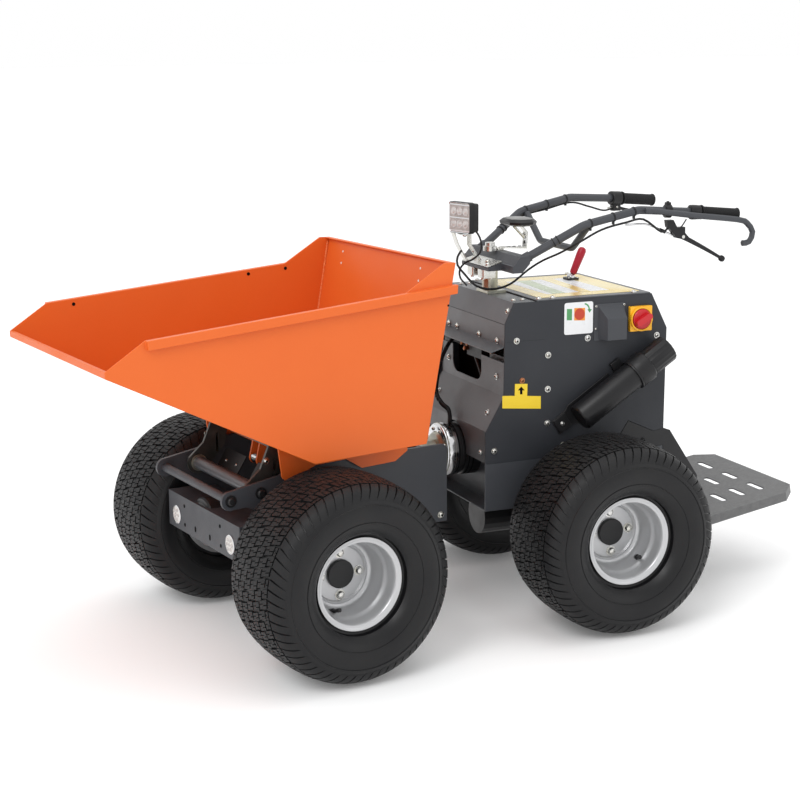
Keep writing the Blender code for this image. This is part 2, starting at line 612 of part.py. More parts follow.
def cables(body):
    """The brake cable under the left tube, with its loop past the pivot and up in front of it."""
    loop = [(0.050, 0.327, 0.8945), (0.050, 0.275, 0.8600), (0.050, 0.222, 0.8500), (0.050, 0.176, 0.8620),
            (0.045, 0.147, 0.892), (0.035, 0.130, 0.917), (0.022, 0.136, 0.937), (0.010, 0.152, 0.9505)]
    brake = [(0.200, 0.6600, 1.0056), (0.200, 0.640, 0.9957), (0.192, 0.590, 1.030), (0.190, 0.540, 1.024),
             (0.186, 0.470, 1.008), (0.165, 0.415, 0.975), (0.120, 0.385, 0.945), (0.070, 0.360, 0.920), *loop]
    tube("brake_cable", smooth_route(brake, 0.016), 0.003, "black", body, 2)


# ---------------------------------------------------------------- pivot between the halves

def knuckle(body):
    """The upright bush on the steering pin with the long spindle that swings in the rear half's bearing."""
    bush = pipe((0, STEER_Y, KNUCKLE_LOW), (0, STEER_Y, KNUCKLE_HIGH), PIN_RADIUS + PIN_GAP, KNUCKLE_RADIUS)
    end = TUB_FRONT - 2 * GAP - PIN_GAP
    start = STEER_Y + PIN_RADIUS + PIN_GAP + 0.004
    flange = BEARING_FRONT
    profile = [(0, 0), (0, 0.028), (flange - start, 0.028), (flange - start, BEARING_RADIUS - 0.010),
               (flange - start + 0.006, BEARING_RADIUS), (flange - start + FLANGE_THICK, BEARING_RADIUS),
               (flange - start + FLANGE_THICK, SPINDLE_RADIUS), (end - start, SPINDLE_RADIUS), (end - start, 0)]
    spindle = turned(profile, (0, start, SWING_Z), (0, 1, 0), FINE)
    horn_low = STEER_CYLINDER_Z - 0.0185
    horn = prism([(-0.010, STEER_Y + 0.024), (-0.010, 0.084), (HORN[0] - 0.004, HORN[1] + 0.015),
                  *arc(HORN, 0.015, 100, 260, 4), (-0.028, STEER_Y + 0.002)], "Z", horn_low, horn_low + 0.008)
    bore = rod((0, STEER_Y, KNUCKLE_LOW - 0.05), (0, STEER_Y, KNUCKLE_HIGH + 0.05), PIN_RADIUS + PIN_GAP)
    add("pivot_knuckle", bush, "zinc", body, join=[spindle, horn], cut=[bore], smooth=True)


# ---------------------------------------------------------------- front frame

def front_frame(body):
    inner = FRAME_HALF - FRAME_SHEET
    behind = BOX_REAR + GAP
    outline = [*arc(NOSE, NOSE_RADIUS, 112, 290, 10), (NOSE[0] + 0.043, 0.400), (NOSE[0] + 0.070, BOX_TOP + GAP + 0.03),
               (NOSE[0] + 0.080, BOX_TOP + GAP), (behind, BOX_TOP + GAP), (behind, FRAME_BOTTOM), (0.0, FRAME_BOTTOM),
               (0.0, FRAME_TOP - 0.010), (-0.010, FRAME_TOP), (-0.440, FRAME_TOP), (-0.478, 0.467)]
    shelf_z = STEER_CYLINDER_Z - STEER_BORE - 0.002
    shelf = box((-inner - 0.002, STEER_FOOT[0] + 0.020), (STEER_FOOT[1] - 0.024, STEER_FOOT[1] + 0.024),
                (shelf_z - 0.008, shelf_z))
    stud = rod((*STEER_FOOT, shelf_z - 0.002), (*STEER_FOOT, STEER_CYLINDER_Z - 0.0145 * 0.8 - GAP), 0.009)
    for name, side, join in (("front_side_plate_left", 1, []), ("front_side_plate_right", -1, [shelf, stud])):
        add(name, prism(outline, "X", *sorted((side * inner, side * FRAME_HALF))), "anthracite", body, join=join)
    reach = inner - GAP
    wall = STEER_Y - 0.065
    low, high = KNUCKLE_LOW - PIN_GAP, KNUCKLE_HIGH + PIN_GAP
    lug = [(-0.040, wall + 0.002), (-0.040, STEER_Y), *[(-x, y) for x, y in arc((0, STEER_Y), 0.038, 0, 180, 10)],
           (0.040, STEER_Y), (0.040, wall + 0.002)]
    window = box((-0.170, -0.058), (wall - 0.02, wall + 0.02), (0.372, 0.440))
    foot = TIP_FOOT
    cheek = [*arc(foot, 0.018, 10, 190, 6), (foot[0] - 0.018, FRAME_BOTTOM + 0.001),
             (foot[0] + 0.018, FRAME_BOTTOM + 0.001)]
    cheeks = [prism(cheek, "X", x, x + 0.008) for x in (-0.024, 0.016)]
    floor_bar = box((-reach, reach), (foot[0] - 0.030, wall), (FRAME_BOTTOM - 0.006, FRAME_BOTTOM + 0.002))
    add("front_cross_member", box((-reach, reach), (wall - 0.008, wall + 0.004), (FRAME_BOTTOM, FRAME_TOP)),
        "anthracite", body, join=[
            prism(lug, "Z", low - LUG_THICK, low), prism(lug, "Z", high, high + LUG_THICK),
            rod((0, STEER_Y, low - LUG_THICK - 0.008), (0, STEER_Y, high + LUG_THICK + 0.008), PIN_RADIUS),
            floor_bar, *cheeks,
        ], cut=[window], smooth=True)
    shell = box((-BOX_HALF, BOX_HALF), (BOX_FRONT, BOX_REAR), (BOX_BOTTOM, BOX_TOP))
    sheet = BOX_SHEET
    add("front_axle_box", shell, "anthracite", body, cut=[
        box((-BOX_HALF + sheet, BOX_HALF - sheet), (BOX_FRONT + sheet, BOX_REAR + 0.05),
            (BOX_BOTTOM + sheet, BOX_TOP - sheet))])
    add("front_cross_tube", rod((-reach, *NOSE), (reach, *NOSE), BAR_RADIUS), "anthracite", body, smooth=True)
    add("tip_shaft", rod((-reach, *TIP_PIVOT), (reach, *TIP_PIVOT), BAR_RADIUS), "chrome", body, smooth=True)


# ---------------------------------------------------------------- skip

def floor_z(y):
    """Height of the skip floor's underside behind its knee."""
    share = (y - SKIP_KNEE[0]) / (SKIP_HEEL[0] - SKIP_KNEE[0])
    return SKIP_KNEE[1] + share * (SKIP_HEEL[1] - SKIP_KNEE[1])


def slope_z(y):
    """Height of the sloping front's underside ahead of the knee."""
    share = (SKIP_KNEE[0] - y) / (SKIP_KNEE[0] - SKIP_LIP[0])
    return SKIP_KNEE[1] + share * (SKIP_LIP[1] - SKIP_LIP_DEPTH - SKIP_KNEE[1])


def skip(body):
    sheet = SKIP_SHEET
    inner = SKIP_HALF - sheet
    lip_y, lip_z = SKIP_LIP
    floor = [(lip_y, lip_z - SKIP_LIP_DEPTH), SKIP_KNEE, SKIP_HEEL, (SKIP_HEEL[0], SKIP_HEEL[1] + sheet),
             (SKIP_KNEE[0] + 0.001, SKIP_KNEE[1] + sheet), (lip_y + 0.012, slope_z(lip_y + 0.012) + sheet + 0.001),
             (lip_y + 0.010, lip_z), (lip_y, lip_z)]
    add("skip_floor", prism(floor, "X", -inner + GAP, inner - GAP), "orange", body)
    side = [(lip_y, lip_z - SKIP_LIP_DEPTH), SKIP_KNEE, SKIP_HEEL, SKIP_CREST, *reversed(SKIP_EDGE), (lip_y, lip_z)]
    kink, rise, _ = SKIP_EDGE
    crest = SKIP_CREST
    back = between(kink, rise, RIM_SHARE)
    rim = [kink, back, (back[0] - 0.002, back[1] - RIM_DEPTH), (kink[0] + 0.002, kink[1] - RIM_DEPTH)]
    for name, way in (("skip_side_left", 1), ("skip_side_right", -1)):
        add(name, prism(side, "X", *sorted((way * inner, way * SKIP_HALF))), "orange", body,
            join=[prism(rim, "X", *sorted((way * (SKIP_HALF - 0.002), way * (SKIP_HALF + RIM_WIDTH))))])
    foot_z = SKIP_HEEL[1] + sheet + GAP
    lean = (crest[0] - SKIP_HEEL[0]) / (crest[1] - SKIP_HEEL[1])
    foot_y = SKIP_HEEL[0] + (foot_z - SKIP_HEEL[1]) * lean
    wall = [(foot_y, foot_z), crest, (crest[0] - 0.014, crest[1]), (crest[0] - 0.014, crest[1] - 0.003),
            (crest[0] - sheet - 0.001, crest[1] - 0.006), (foot_y - sheet, foot_z)]
    add("skip_rear_wall", prism(wall, "X", -inner + GAP, inner - GAP), "orange", body)
    under_frame(body)


def under_frame(body):
    """Two flanges and two cross bars under the skip's floor, with the lugs for the tip cylinder's rod."""
    outer, inner = FRAME_HALF + 0.011, FRAME_HALF + 0.005
    seat = GAP
    front, rear = SKIP_KNEE[0] + 0.002, SKIP_HEEL[0] + 0.006
    flange = [(-0.486, slope_z(-0.486) - 2 * seat), (-0.478, 0.474), *arc((-0.462, 0.470), 0.016, 180, 285, 5),
              (-0.385, 0.4825), (-0.300, 0.486), (-0.256, 0.458), (-0.160, 0.4625), (-0.124, 0.486),
              (rear, floor_z(rear) - seat), (SKIP_KNEE[0], SKIP_KNEE[1] - 2 * seat)]
    bars = []
    for y in (-0.400, -0.190):
        low = 0.4905
        bar = [(y - 0.018, low), (y + 0.018, low), (y + 0.018, floor_z(y + 0.018) - seat),
               (y - 0.018, floor_z(y - 0.018) - seat)]
        bars.append(prism(bar, "X", -inner - 0.002, inner + 0.002))
    eye_y, eye_z = TIP_EYE
    cheek = [*arc((eye_y, eye_z), 0.016, 175, 330, 6), (-0.384, 0.492), (-0.384, 0.506), (front, floor_z(front) - 0.004)]
    cheeks = [prism(cheek, "X", x, x + 0.006) for x in (-0.022, 0.016)]
    add("skip_under_frame", prism(flange, "X", inner, outer), "orange", body,
        join=[prism(flange, "X", -outer, -inner), *bars, *cheeks])
    y, z = TIP_PIVOT
    lug = [*arc((y, z), LUG_RADIUS, 150, 300, 8), (-0.455, 0.470), (SKIP_KNEE[0] - 0.001, slope_z(SKIP_KNEE[0]) - 0.001),
           (-0.490, slope_z(-0.490) - 2 * GAP), (-0.515, 0.480)]
    strap = [(-0.456, slope_z(-0.456) - 2 * GAP), (-0.486, slope_z(-0.486) - 2 * GAP),
             (-0.488, slope_z(-0.486) - 0.006), (-0.458, slope_z(-0.456) - 0.006)]
    bore = rod((-0.2, y, z), (0.2, y, z), BAR_RADIUS + PIN_GAP)
    add("skip_hinge", prism(strap, "X", -LUG_X, LUG_X), "zinc", body,
        join=[prism(lug, "X", x - 0.004, x + 0.004) for x in (-LUG_X, LUG_X)], cut=[bore], smooth=True)


# ---------------------------------------------------------------- cylinders

def cylinder(name, foot, eye, bore, rod_radius, across, travel, barrel_body, rod_body):
    """A cylinder from its foot pin to its rod eye. Across is half its eyes' way, travel what it can still shorten."""
    foot, eye, across = Vector(foot), Vector(eye), Vector(across)
    way = (eye - foot).normalized()
    length = (eye - foot).length
    barrel_start, barrel_end = 0.0205, length * 0.60
    hole = rod_radius + PIN_GAP
    barrel = [(barrel_start, 0), (barrel_start, bore), (barrel_end, bore), (barrel_end, hole),
              (barrel_start + 0.018, hole), (barrel_start + 0.018, 0)]
    foot_eye = rod(foot - across * 0.0145, foot + across * 0.0145, bore * 0.72)
    neck = rod(foot + way * 0.004, foot + way * 0.026, bore * 0.58)
    add(f"{name}_barrel", turned(barrel, foot, way), "black", barrel_body, join=[neck, foot_eye], smooth=True)
    rod_start = barrel_start + 0.020 + travel
    stem = [(rod_start, 0), (rod_start, rod_radius), (length - 0.006, rod_radius), (length - 0.006, 0)]
    rod_eye = rod(eye - across * 0.0125, eye + across * 0.0125, rod_radius * 1.4)
    add(f"{name}_rod", turned(stem, foot, way), "chrome", rod_body, join=[rod_eye], smooth=True)


def tip_cylinder(front):
    foot, eye = (0, *TIP_FOOT), (0, *TIP_EYE)
    barrel_body = Body("tip_cylinder_foot_axis", foot, front)
    rod_body = Body("tip_rod_axis", eye, barrel_body)
    cylinder("tip_cylinder", foot, eye, TIP_BORE, TIP_ROD, (1, 0, 0), 0, barrel_body, rod_body)


def steering_cylinder(front):
    """Its eye stands over the horn of the knuckle, which the front half sees turned back by the rest steer."""
    turn = Matrix.Rotation(-REST_STEER, 3, "Z")
    pivot = Vector((0, STEER_Y, 0))
    eye = pivot + turn @ (Vector((*HORN, STEER_CYLINDER_Z)) - pivot)
    foot = Vector((*STEER_FOOT, STEER_CYLINDER_Z))
    barrel_body = Body("steering_cylinder_foot_axis", foot, front)
    rod_body = Body("steering_rod_axis", eye, barrel_body)
    cylinder("steering_cylinder", foot, eye, STEER_BORE, STEER_ROD, (0, 0, 0.8), 0.080, barrel_body, rod_body)


# ---------------------------------------------------------------- the machine

def stand_on_origin(root):
    """Moves the whole machine so that the bottom centre of its box is the origin."""
    bpy.context.view_layer.update()
    graph = bpy.context.evaluated_depsgraph_get()
    corners = []
    for obj in bpy.data.objects:
        if obj.type == "EMPTY" or obj.hide_render:
            continue
        evaluated = obj.evaluated_get(graph)
        mesh = evaluated.to_mesh()
        corners += [evaluated.matrix_world @ vert.co for vert in mesh.vertices]
        evaluated.to_mesh_clear()
    low = [min(c[i] for c in corners) for i in range(3)]
    high = [max(c[i] for c in corners) for i in range(3)]
    root.empty.location = (-(low[0] + high[0]) / 2, -(low[1] + high[1]) / 2, -low[2])


def main():
    for obj in list(bpy.data.objects):
        bpy.data.objects.remove(obj, do_unlink=True)
    rear = Body("machine", (0, 0, 0))
    pivot = Body("swing_axis", (0, STEER_Y, SWING_Z), rear)
    front = Body("steering_axis", (0, STEER_Y, 0), rear, (0, 0, REST_STEER))
    tipper = Body("tip_axis", (0, *TIP_PIVOT), front)

    rear_axle, front_axle = WHEELBASE / 2, -WHEELBASE / 2
    for place, side in (("left", 1), ("right", -1)):
        wheel(f"rear_{place}", side, rear_axle, rear)
        wheel(f"front_{place}", side, front_axle, front)
    axle("rear_axle", rear_axle, -1, BODY_BOTTOM - GAP, BODY_HALF - 0.016, rear)
    axle("front_axle", front_axle, 1, FRAME_BOTTOM - GAP, FRAME_HALF - 0.006, front)

    rear_chassis(rear)
    side_panel("side_panel_left", 1, rear)
    side_panel("side_panel_right", -1, rear)
    covers(rear)
    step(rear)
    document_tube(rear)
    fittings(rear)
    bar = handlebar(rear)
    cables(bar)

    knuckle(pivot)
    front_frame(front)
    skip(tipper)
    tip_cylinder(front)
    steering_cylinder(front)
    stand_on_origin(rear)


main()
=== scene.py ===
"""Looks of the articulated mini site dumper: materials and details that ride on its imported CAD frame.

Details are placed in the straight machine's coordinates, as in the CAD: x = 0 is the middle plane, y = 0
lies midway between the axles and the axles are at AXLE_Z. REAR, FRONT and the wheels' matrices carry them to
their place.
"""

import json
from math import atan2, ceil, cos, pi, radians, sin

import bmesh
import bpy
from mathutils import Matrix, Vector


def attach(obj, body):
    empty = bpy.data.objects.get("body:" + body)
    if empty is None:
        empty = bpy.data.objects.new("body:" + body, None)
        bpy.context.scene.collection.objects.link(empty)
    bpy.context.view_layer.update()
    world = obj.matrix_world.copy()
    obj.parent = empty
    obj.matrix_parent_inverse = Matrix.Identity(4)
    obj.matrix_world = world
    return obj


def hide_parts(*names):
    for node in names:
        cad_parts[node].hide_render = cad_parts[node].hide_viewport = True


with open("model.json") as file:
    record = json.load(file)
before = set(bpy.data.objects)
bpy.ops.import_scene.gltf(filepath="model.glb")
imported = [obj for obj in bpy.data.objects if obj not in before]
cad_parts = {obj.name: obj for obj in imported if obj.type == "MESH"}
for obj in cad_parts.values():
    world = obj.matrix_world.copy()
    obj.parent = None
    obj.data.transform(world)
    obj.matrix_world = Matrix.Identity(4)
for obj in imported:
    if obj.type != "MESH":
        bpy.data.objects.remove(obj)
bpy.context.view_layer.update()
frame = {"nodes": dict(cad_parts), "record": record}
nodes = frame["nodes"]
joints = {joint["name"]: joint for joint in frame["record"]["behaviour"]["joints"]}

STEER_Y = -0.01
TIP_Z = 0.43
SKIN = 0.2003           # outside of the rear body's side panels
PLATE = 0.1983          # outside of the front frame's side plates
AXLE_Z = 0.254
TYRE = 0.249
HALF_TRACK = 0.369
RIM_DISC = -0.004       # outer face of a rim's disc
SWING_Z = 0.42          # height of the axle swing's axis
CROSS_TUBE = (-0.53, 0.43)      # y and z of the front frame's cross tube
NOSE_BOLT = (-0.61, 0.421)
BOX_FACE = -0.5952      # front of the front axle box
SKIP_INSIDE = 0.3138    # inside of the skip's side walls
TOP_FACE = 0.8384       # upper face of the cabinet's top cover
BODY_BOLT = 0.0062      # radius of a panel bolt's head
INK = 0.0002            # thickness of a coloured field on a label

steer = Vector(joints["steering"]["pos_m"])
tip_axis = Vector(joints["skip_tip"]["axis"])
ground = joints["skip_tip"]["pos_m"][2] - TIP_Z
REAR = Matrix.Translation((steer.x, steer.y - STEER_Y, ground))
FRONT = (Matrix.Translation((steer.x, steer.y, ground))
         @ Matrix.Rotation(atan2(tip_axis.y, tip_axis.x), 4, "Z") @ Matrix.Translation((0, -STEER_Y, 0)))


# ---------------------------------------------------------------- materials

def noise_into(tree, scale, detail, low, high, seed=0.0):
    """A noise in object coordinates, mapped to a range."""
    coords = tree.nodes.new("ShaderNodeTexCoord")
    shift = tree.nodes.new("ShaderNodeMapping")
    shift.inputs["Location"].default_value = (seed, seed * 0.7, seed * 1.3)
    noise = tree.nodes.new("ShaderNodeTexNoise")
    noise.inputs["Scale"].default_value = scale
    noise.inputs["Detail"].default_value = detail
    span = tree.nodes.new("ShaderNodeMapRange")
    span.inputs["From Min"].default_value = 0.3
    span.inputs["From Max"].default_value = 0.7
    span.inputs["To Min"].default_value = low
    span.inputs["To Max"].default_value = high
    tree.links.new(coords.outputs["Object"], shift.inputs["Vector"])
    tree.links.new(shift.outputs["Vector"], noise.inputs["Vector"])
    tree.links.new(noise.outputs["Fac"], span.inputs["Value"])
    return span.outputs["Result"]


def finish(name, colour, rough, metallic=0.0, second=None, amount=0.25, patch=9.0, rough_spread=0.06,
           grain=0.0, grain_scale=600.0, coat=0.0, fleck=0.0, fleck_scale=900.0, glow=0.0, specular=0.5):
    """A procedural surface: broad colour patches, fine flecks, roughness patches and a fine grain."""
    material = bpy.data.materials.new(name)
    material.use_nodes = True
    tree = material.node_tree
    shader = tree.nodes["Principled BSDF"]
    shader.inputs["Metallic"].default_value = metallic
    shader.inputs["Specular IOR Level"].default_value = specular
    shader.inputs["Coat Weight"].default_value = coat
    shader.inputs["Coat Roughness"].default_value = 0.12
    if glow:
        shader.inputs["Emission Color"].default_value = (*colour, 1)
        shader.inputs["Emission Strength"].default_value = glow
    second = second or tuple(c * 0.6 for c in colour)
    mix = tree.nodes.new("ShaderNodeMix")
    mix.data_type = "RGBA"
    mix.inputs["A"].default_value = (*colour, 1)
    mix.inputs["B"].default_value = (*second, 1)
    tree.links.new(noise_into(tree, patch, 5, 0.0, amount), mix.inputs["Factor"])
    result = mix.outputs["Result"]
    if fleck:
        over = tree.nodes.new("ShaderNodeMix")
        over.data_type = "RGBA"
        over.inputs["B"].default_value = (*[min(1.0, c * 2.4 + 0.02) for c in colour], 1)
        tree.links.new(noise_into(tree, fleck_scale, 2, 0.0, fleck, 3.1), over.inputs["Factor"])
        tree.links.new(result, over.inputs["A"])
        result = over.outputs["Result"]
    tree.links.new(result, shader.inputs["Base Color"])
    tree.links.new(noise_into(tree, patch * 2.3, 4, rough - rough_spread, rough + rough_spread, 7.7),
                   shader.inputs["Roughness"])
    if grain:
        bump = tree.nodes.new("ShaderNodeBump")
        bump.inputs["Strength"].default_value = 1.0
        bump.inputs["Distance"].default_value = grain
        tree.links.new(noise_into(tree, grain_scale, 3, 0.0, 1.0, 1.9), bump.inputs["Height"])
        tree.links.new(bump.outputs["Normal"], shader.inputs["Normal"])
    return material


ORANGE = finish("orange_paint", (0.7, 0.13, 0.0205), 0.4, second=(0.65, 0.108, 0.016), amount=0.4, patch=4,
                grain=0.0001, grain_scale=260, fleck=0.03, specular=0.28)
# A bead paler than the orange paint: a painted highlight along the corner seam.
WELD = finish("weld_bead", (0.76, 0.27, 0.1), 0.34, second=(0.7, 0.12, 0.02), amount=1.0, patch=160)
ANTHRACITE = finish("anthracite_powder", (0.04, 0.043, 0.05), 0.42, second=(0.052, 0.054, 0.06), amount=0.6,
                    patch=7, grain=0.0001, grain_scale=900, fleck=0.1, specular=0.35)
PANEL_PAINT = finish("panel_powder", (0.024, 0.026, 0.031), 0.44, second=(0.032, 0.034, 0.039), amount=0.6,
                     patch=7, grain=0.0001, grain_scale=900, fleck=0.08, specular=0.28)
# A lighter copy of the anthracite: painted light for the covers that face the light. The cross tube's sleeve,
# the step's slot rims and a bar in the cavity use it too.
ANTHRACITE_LIT = finish("lit_anthracite", (0.062, 0.066, 0.073), 0.34, second=(0.078, 0.081, 0.087),
                        amount=0.6, patch=6, grain=0.00008, grain_scale=900, fleck=0.08)
STEP_PAINT = finish("step_texture", (0.085, 0.085, 0.086), 0.5, second=(0.12, 0.12, 0.12), amount=0.8,
                    patch=60, grain=0.0004, grain_scale=330, fleck=0.25, fleck_scale=500)
BLACK = finish("black_plastic", (0.007, 0.007, 0.008), 0.36, second=(0.012, 0.012, 0.013), amount=0.5,
               grain=0.00006, grain_scale=1200, specular=0.32)
BLACK_PAINT = finish("black_paint", (0.01, 0.01, 0.011), 0.38, second=(0.017, 0.017, 0.018), amount=0.4,
                     patch=12, grain=0.00008, grain_scale=700, specular=0.35)
TREAD = finish("tyre_tread", (0.007, 0.007, 0.008), 0.5, second=(0.013, 0.013, 0.013), amount=0.75, patch=22,
               grain=0.00018, grain_scale=520, fleck=0.12, fleck_scale=1500, specular=0.24)
SIDEWALL = finish("tyre_sidewall", (0.004, 0.004, 0.005), 0.34, second=(0.009, 0.009, 0.009), amount=0.6,
                  patch=14, grain=0.00012, grain_scale=800, fleck=0.04, specular=0.3)
GRIP = finish("grip_rubber", (0.01, 0.01, 0.011), 0.58, grain=0.00025, grain_scale=650, amount=0.4,
              specular=0.3)
SILVER = finish("wheel_silver", (0.5, 0.505, 0.515), 0.34, metallic=0.55, second=(0.44, 0.445, 0.455),
                amount=0.3, patch=9, grain=0.00004, grain_scale=1100, fleck=0.04)
ZINC = finish("zinc_plate", (0.66, 0.66, 0.65), 0.26, metallic=1.0, second=(0.56, 0.54, 0.44), amount=0.5,
              patch=38, grain=0.00005, grain_scale=800)
YELLOW_ZINC = finish("passivated_zinc", (0.5, 0.49, 0.4), 0.34, metallic=0.9, second=(0.36, 0.36, 0.31),
                     amount=0.8, patch=25, grain=0.00008, grain_scale=600)
DARK_ZINC = finish("shaded_zinc", (0.105, 0.104, 0.096), 0.38, metallic=0.8, second=(0.06, 0.06, 0.056),
                   amount=0.8, patch=25, grain=0.00008, grain_scale=600)
CHROME = finish("polished_steel", (0.68, 0.68, 0.69), 0.14, metallic=1.0, second=(0.5, 0.5, 0.51), amount=0.3,
                patch=30, rough_spread=0.03)
COPPER = finish("copper_fitting", (0.5, 0.22, 0.11), 0.35, metallic=1.0, amount=0.5, patch=40)
RED = finish("red_plastic", (0.52, 0.01, 0.016), 0.3, second=(0.4, 0.008, 0.014), amount=0.5, patch=16,
             grain=0.00004, grain_scale=500)
LEVER_RED = finish("red_sleeve", (0.36, 0.006, 0.024), 0.36, second=(0.27, 0.005, 0.016), amount=0.5,
                   patch=22, grain=0.0001, grain_scale=700, specular=0.35)
YELLOW = finish("yellow_plate", (0.84, 0.42, 0.01), 0.36, second=(0.76, 0.36, 0.01), amount=0.4, patch=15,
                grain=0.00004, grain_scale=500)
SIGN_YELLOW = finish("yellow_sticker", (0.84, 0.6, 0.02), 0.34, second=(0.78, 0.54, 0.02), amount=0.4,
                     patch=12)
PALE_YELLOW = finish("pale_yellow_sticker", (0.7, 0.52, 0.12), 0.2, second=(0.8, 0.7, 0.38), amount=0.9,
                     patch=7)
SIGN_WHITE = finish("white_sticker", (0.74, 0.75, 0.76), 0.3, second=(0.64, 0.66, 0.68), amount=0.3, patch=15)
PALE_GREEN = finish("pale_green_sticker", (0.42, 0.5, 0.33), 0.3, second=(0.52, 0.58, 0.42), amount=0.6,
                    patch=10)
GREEN = finish("green_ink", (0.07, 0.29, 0.1), 0.36, amount=0.3)
RED_INK = finish("red_ink", (0.48, 0.04, 0.01), 0.36, amount=0.3)
ORANGE_INK = finish("orange_ink", (0.76, 0.28, 0.03), 0.36, amount=0.3)
BROWN = finish("brown_cable", (0.2, 0.055, 0.03), 0.45, amount=0.5)
# Pale discs for holes: painted light seen through them.
PAINTED_LIGHT_HOLE = finish("painted_light_through_hole", (0.74, 0.66, 0.6), 0.5, amount=0.2)
# Near-black: the real dark of seams and printed marks, and painted shade in holes, slots, sockets, vents,
# grooves and the cavity.
DARK_AND_PAINTED_SHADE = finish("dark_marks_and_painted_shade", (0.004, 0.004, 0.004), 0.85, amount=0.3, patch=20, specular=0.1)
LENS = finish("light_lens", (0.42, 0.38, 0.36), 0.12, second=(0.24, 0.21, 0.2), amount=0.9, patch=90,
              coat=0.6, rough_spread=0.05)
LAMP = finish("marker_lens", (0.74, 0.73, 0.7), 0.14, second=(0.42, 0.41, 0.38), amount=0.9, patch=120,
              coat=0.6)
LED = finish("light_reflector", (0.62, 0.6, 0.59), 0.22, metallic=0.2, second=(0.36, 0.34, 0.33), amount=0.8,
             patch=160)
SCREEN = finish("console_top", (0.125, 0.125, 0.122), 0.34, second=(0.16, 0.16, 0.155), amount=0.7, patch=18,
                grain=0.00006, grain_scale=900)
GREY_BLOCK = finish("battery_case", (0.2, 0.2, 0.2), 0.5, amount=0.4, grain=0.0001)
FLOOR = finish("studio_floor", (0.93, 0.93, 0.93), 0.8, second=(0.92, 0.92, 0.925), amount=0.5, patch=0.7,
               specular=0.2, glow=0.09)


# ---------------------------------------------------------------- piece building

def towards(start, way):
    """The matrix that puts the x axis on a line from start along way."""
    return Matrix.Translation(start) @ Vector((1, 0, 0)).rotation_difference(Vector(way)).to_matrix().to_4x4()


def band(count, rows=1):
    """Faces between closed rings of count points, one ring after another."""
    return [[i + k * count, (i + 1) % count + k * count, (i + 1) % count + (k + 1) * count, i
             + (k + 1) * count] for k in range(rows) for i in range(count)]


def soften(piece, width, angle):
    """A bevel on the edges that are sharper than the angle."""
    bevel = piece.modifiers.new("edges", "BEVEL")
    bevel.width = width
    bevel.segments = 2
    bevel.limit_method = "ANGLE"
    bevel.angle_limit = radians(angle)


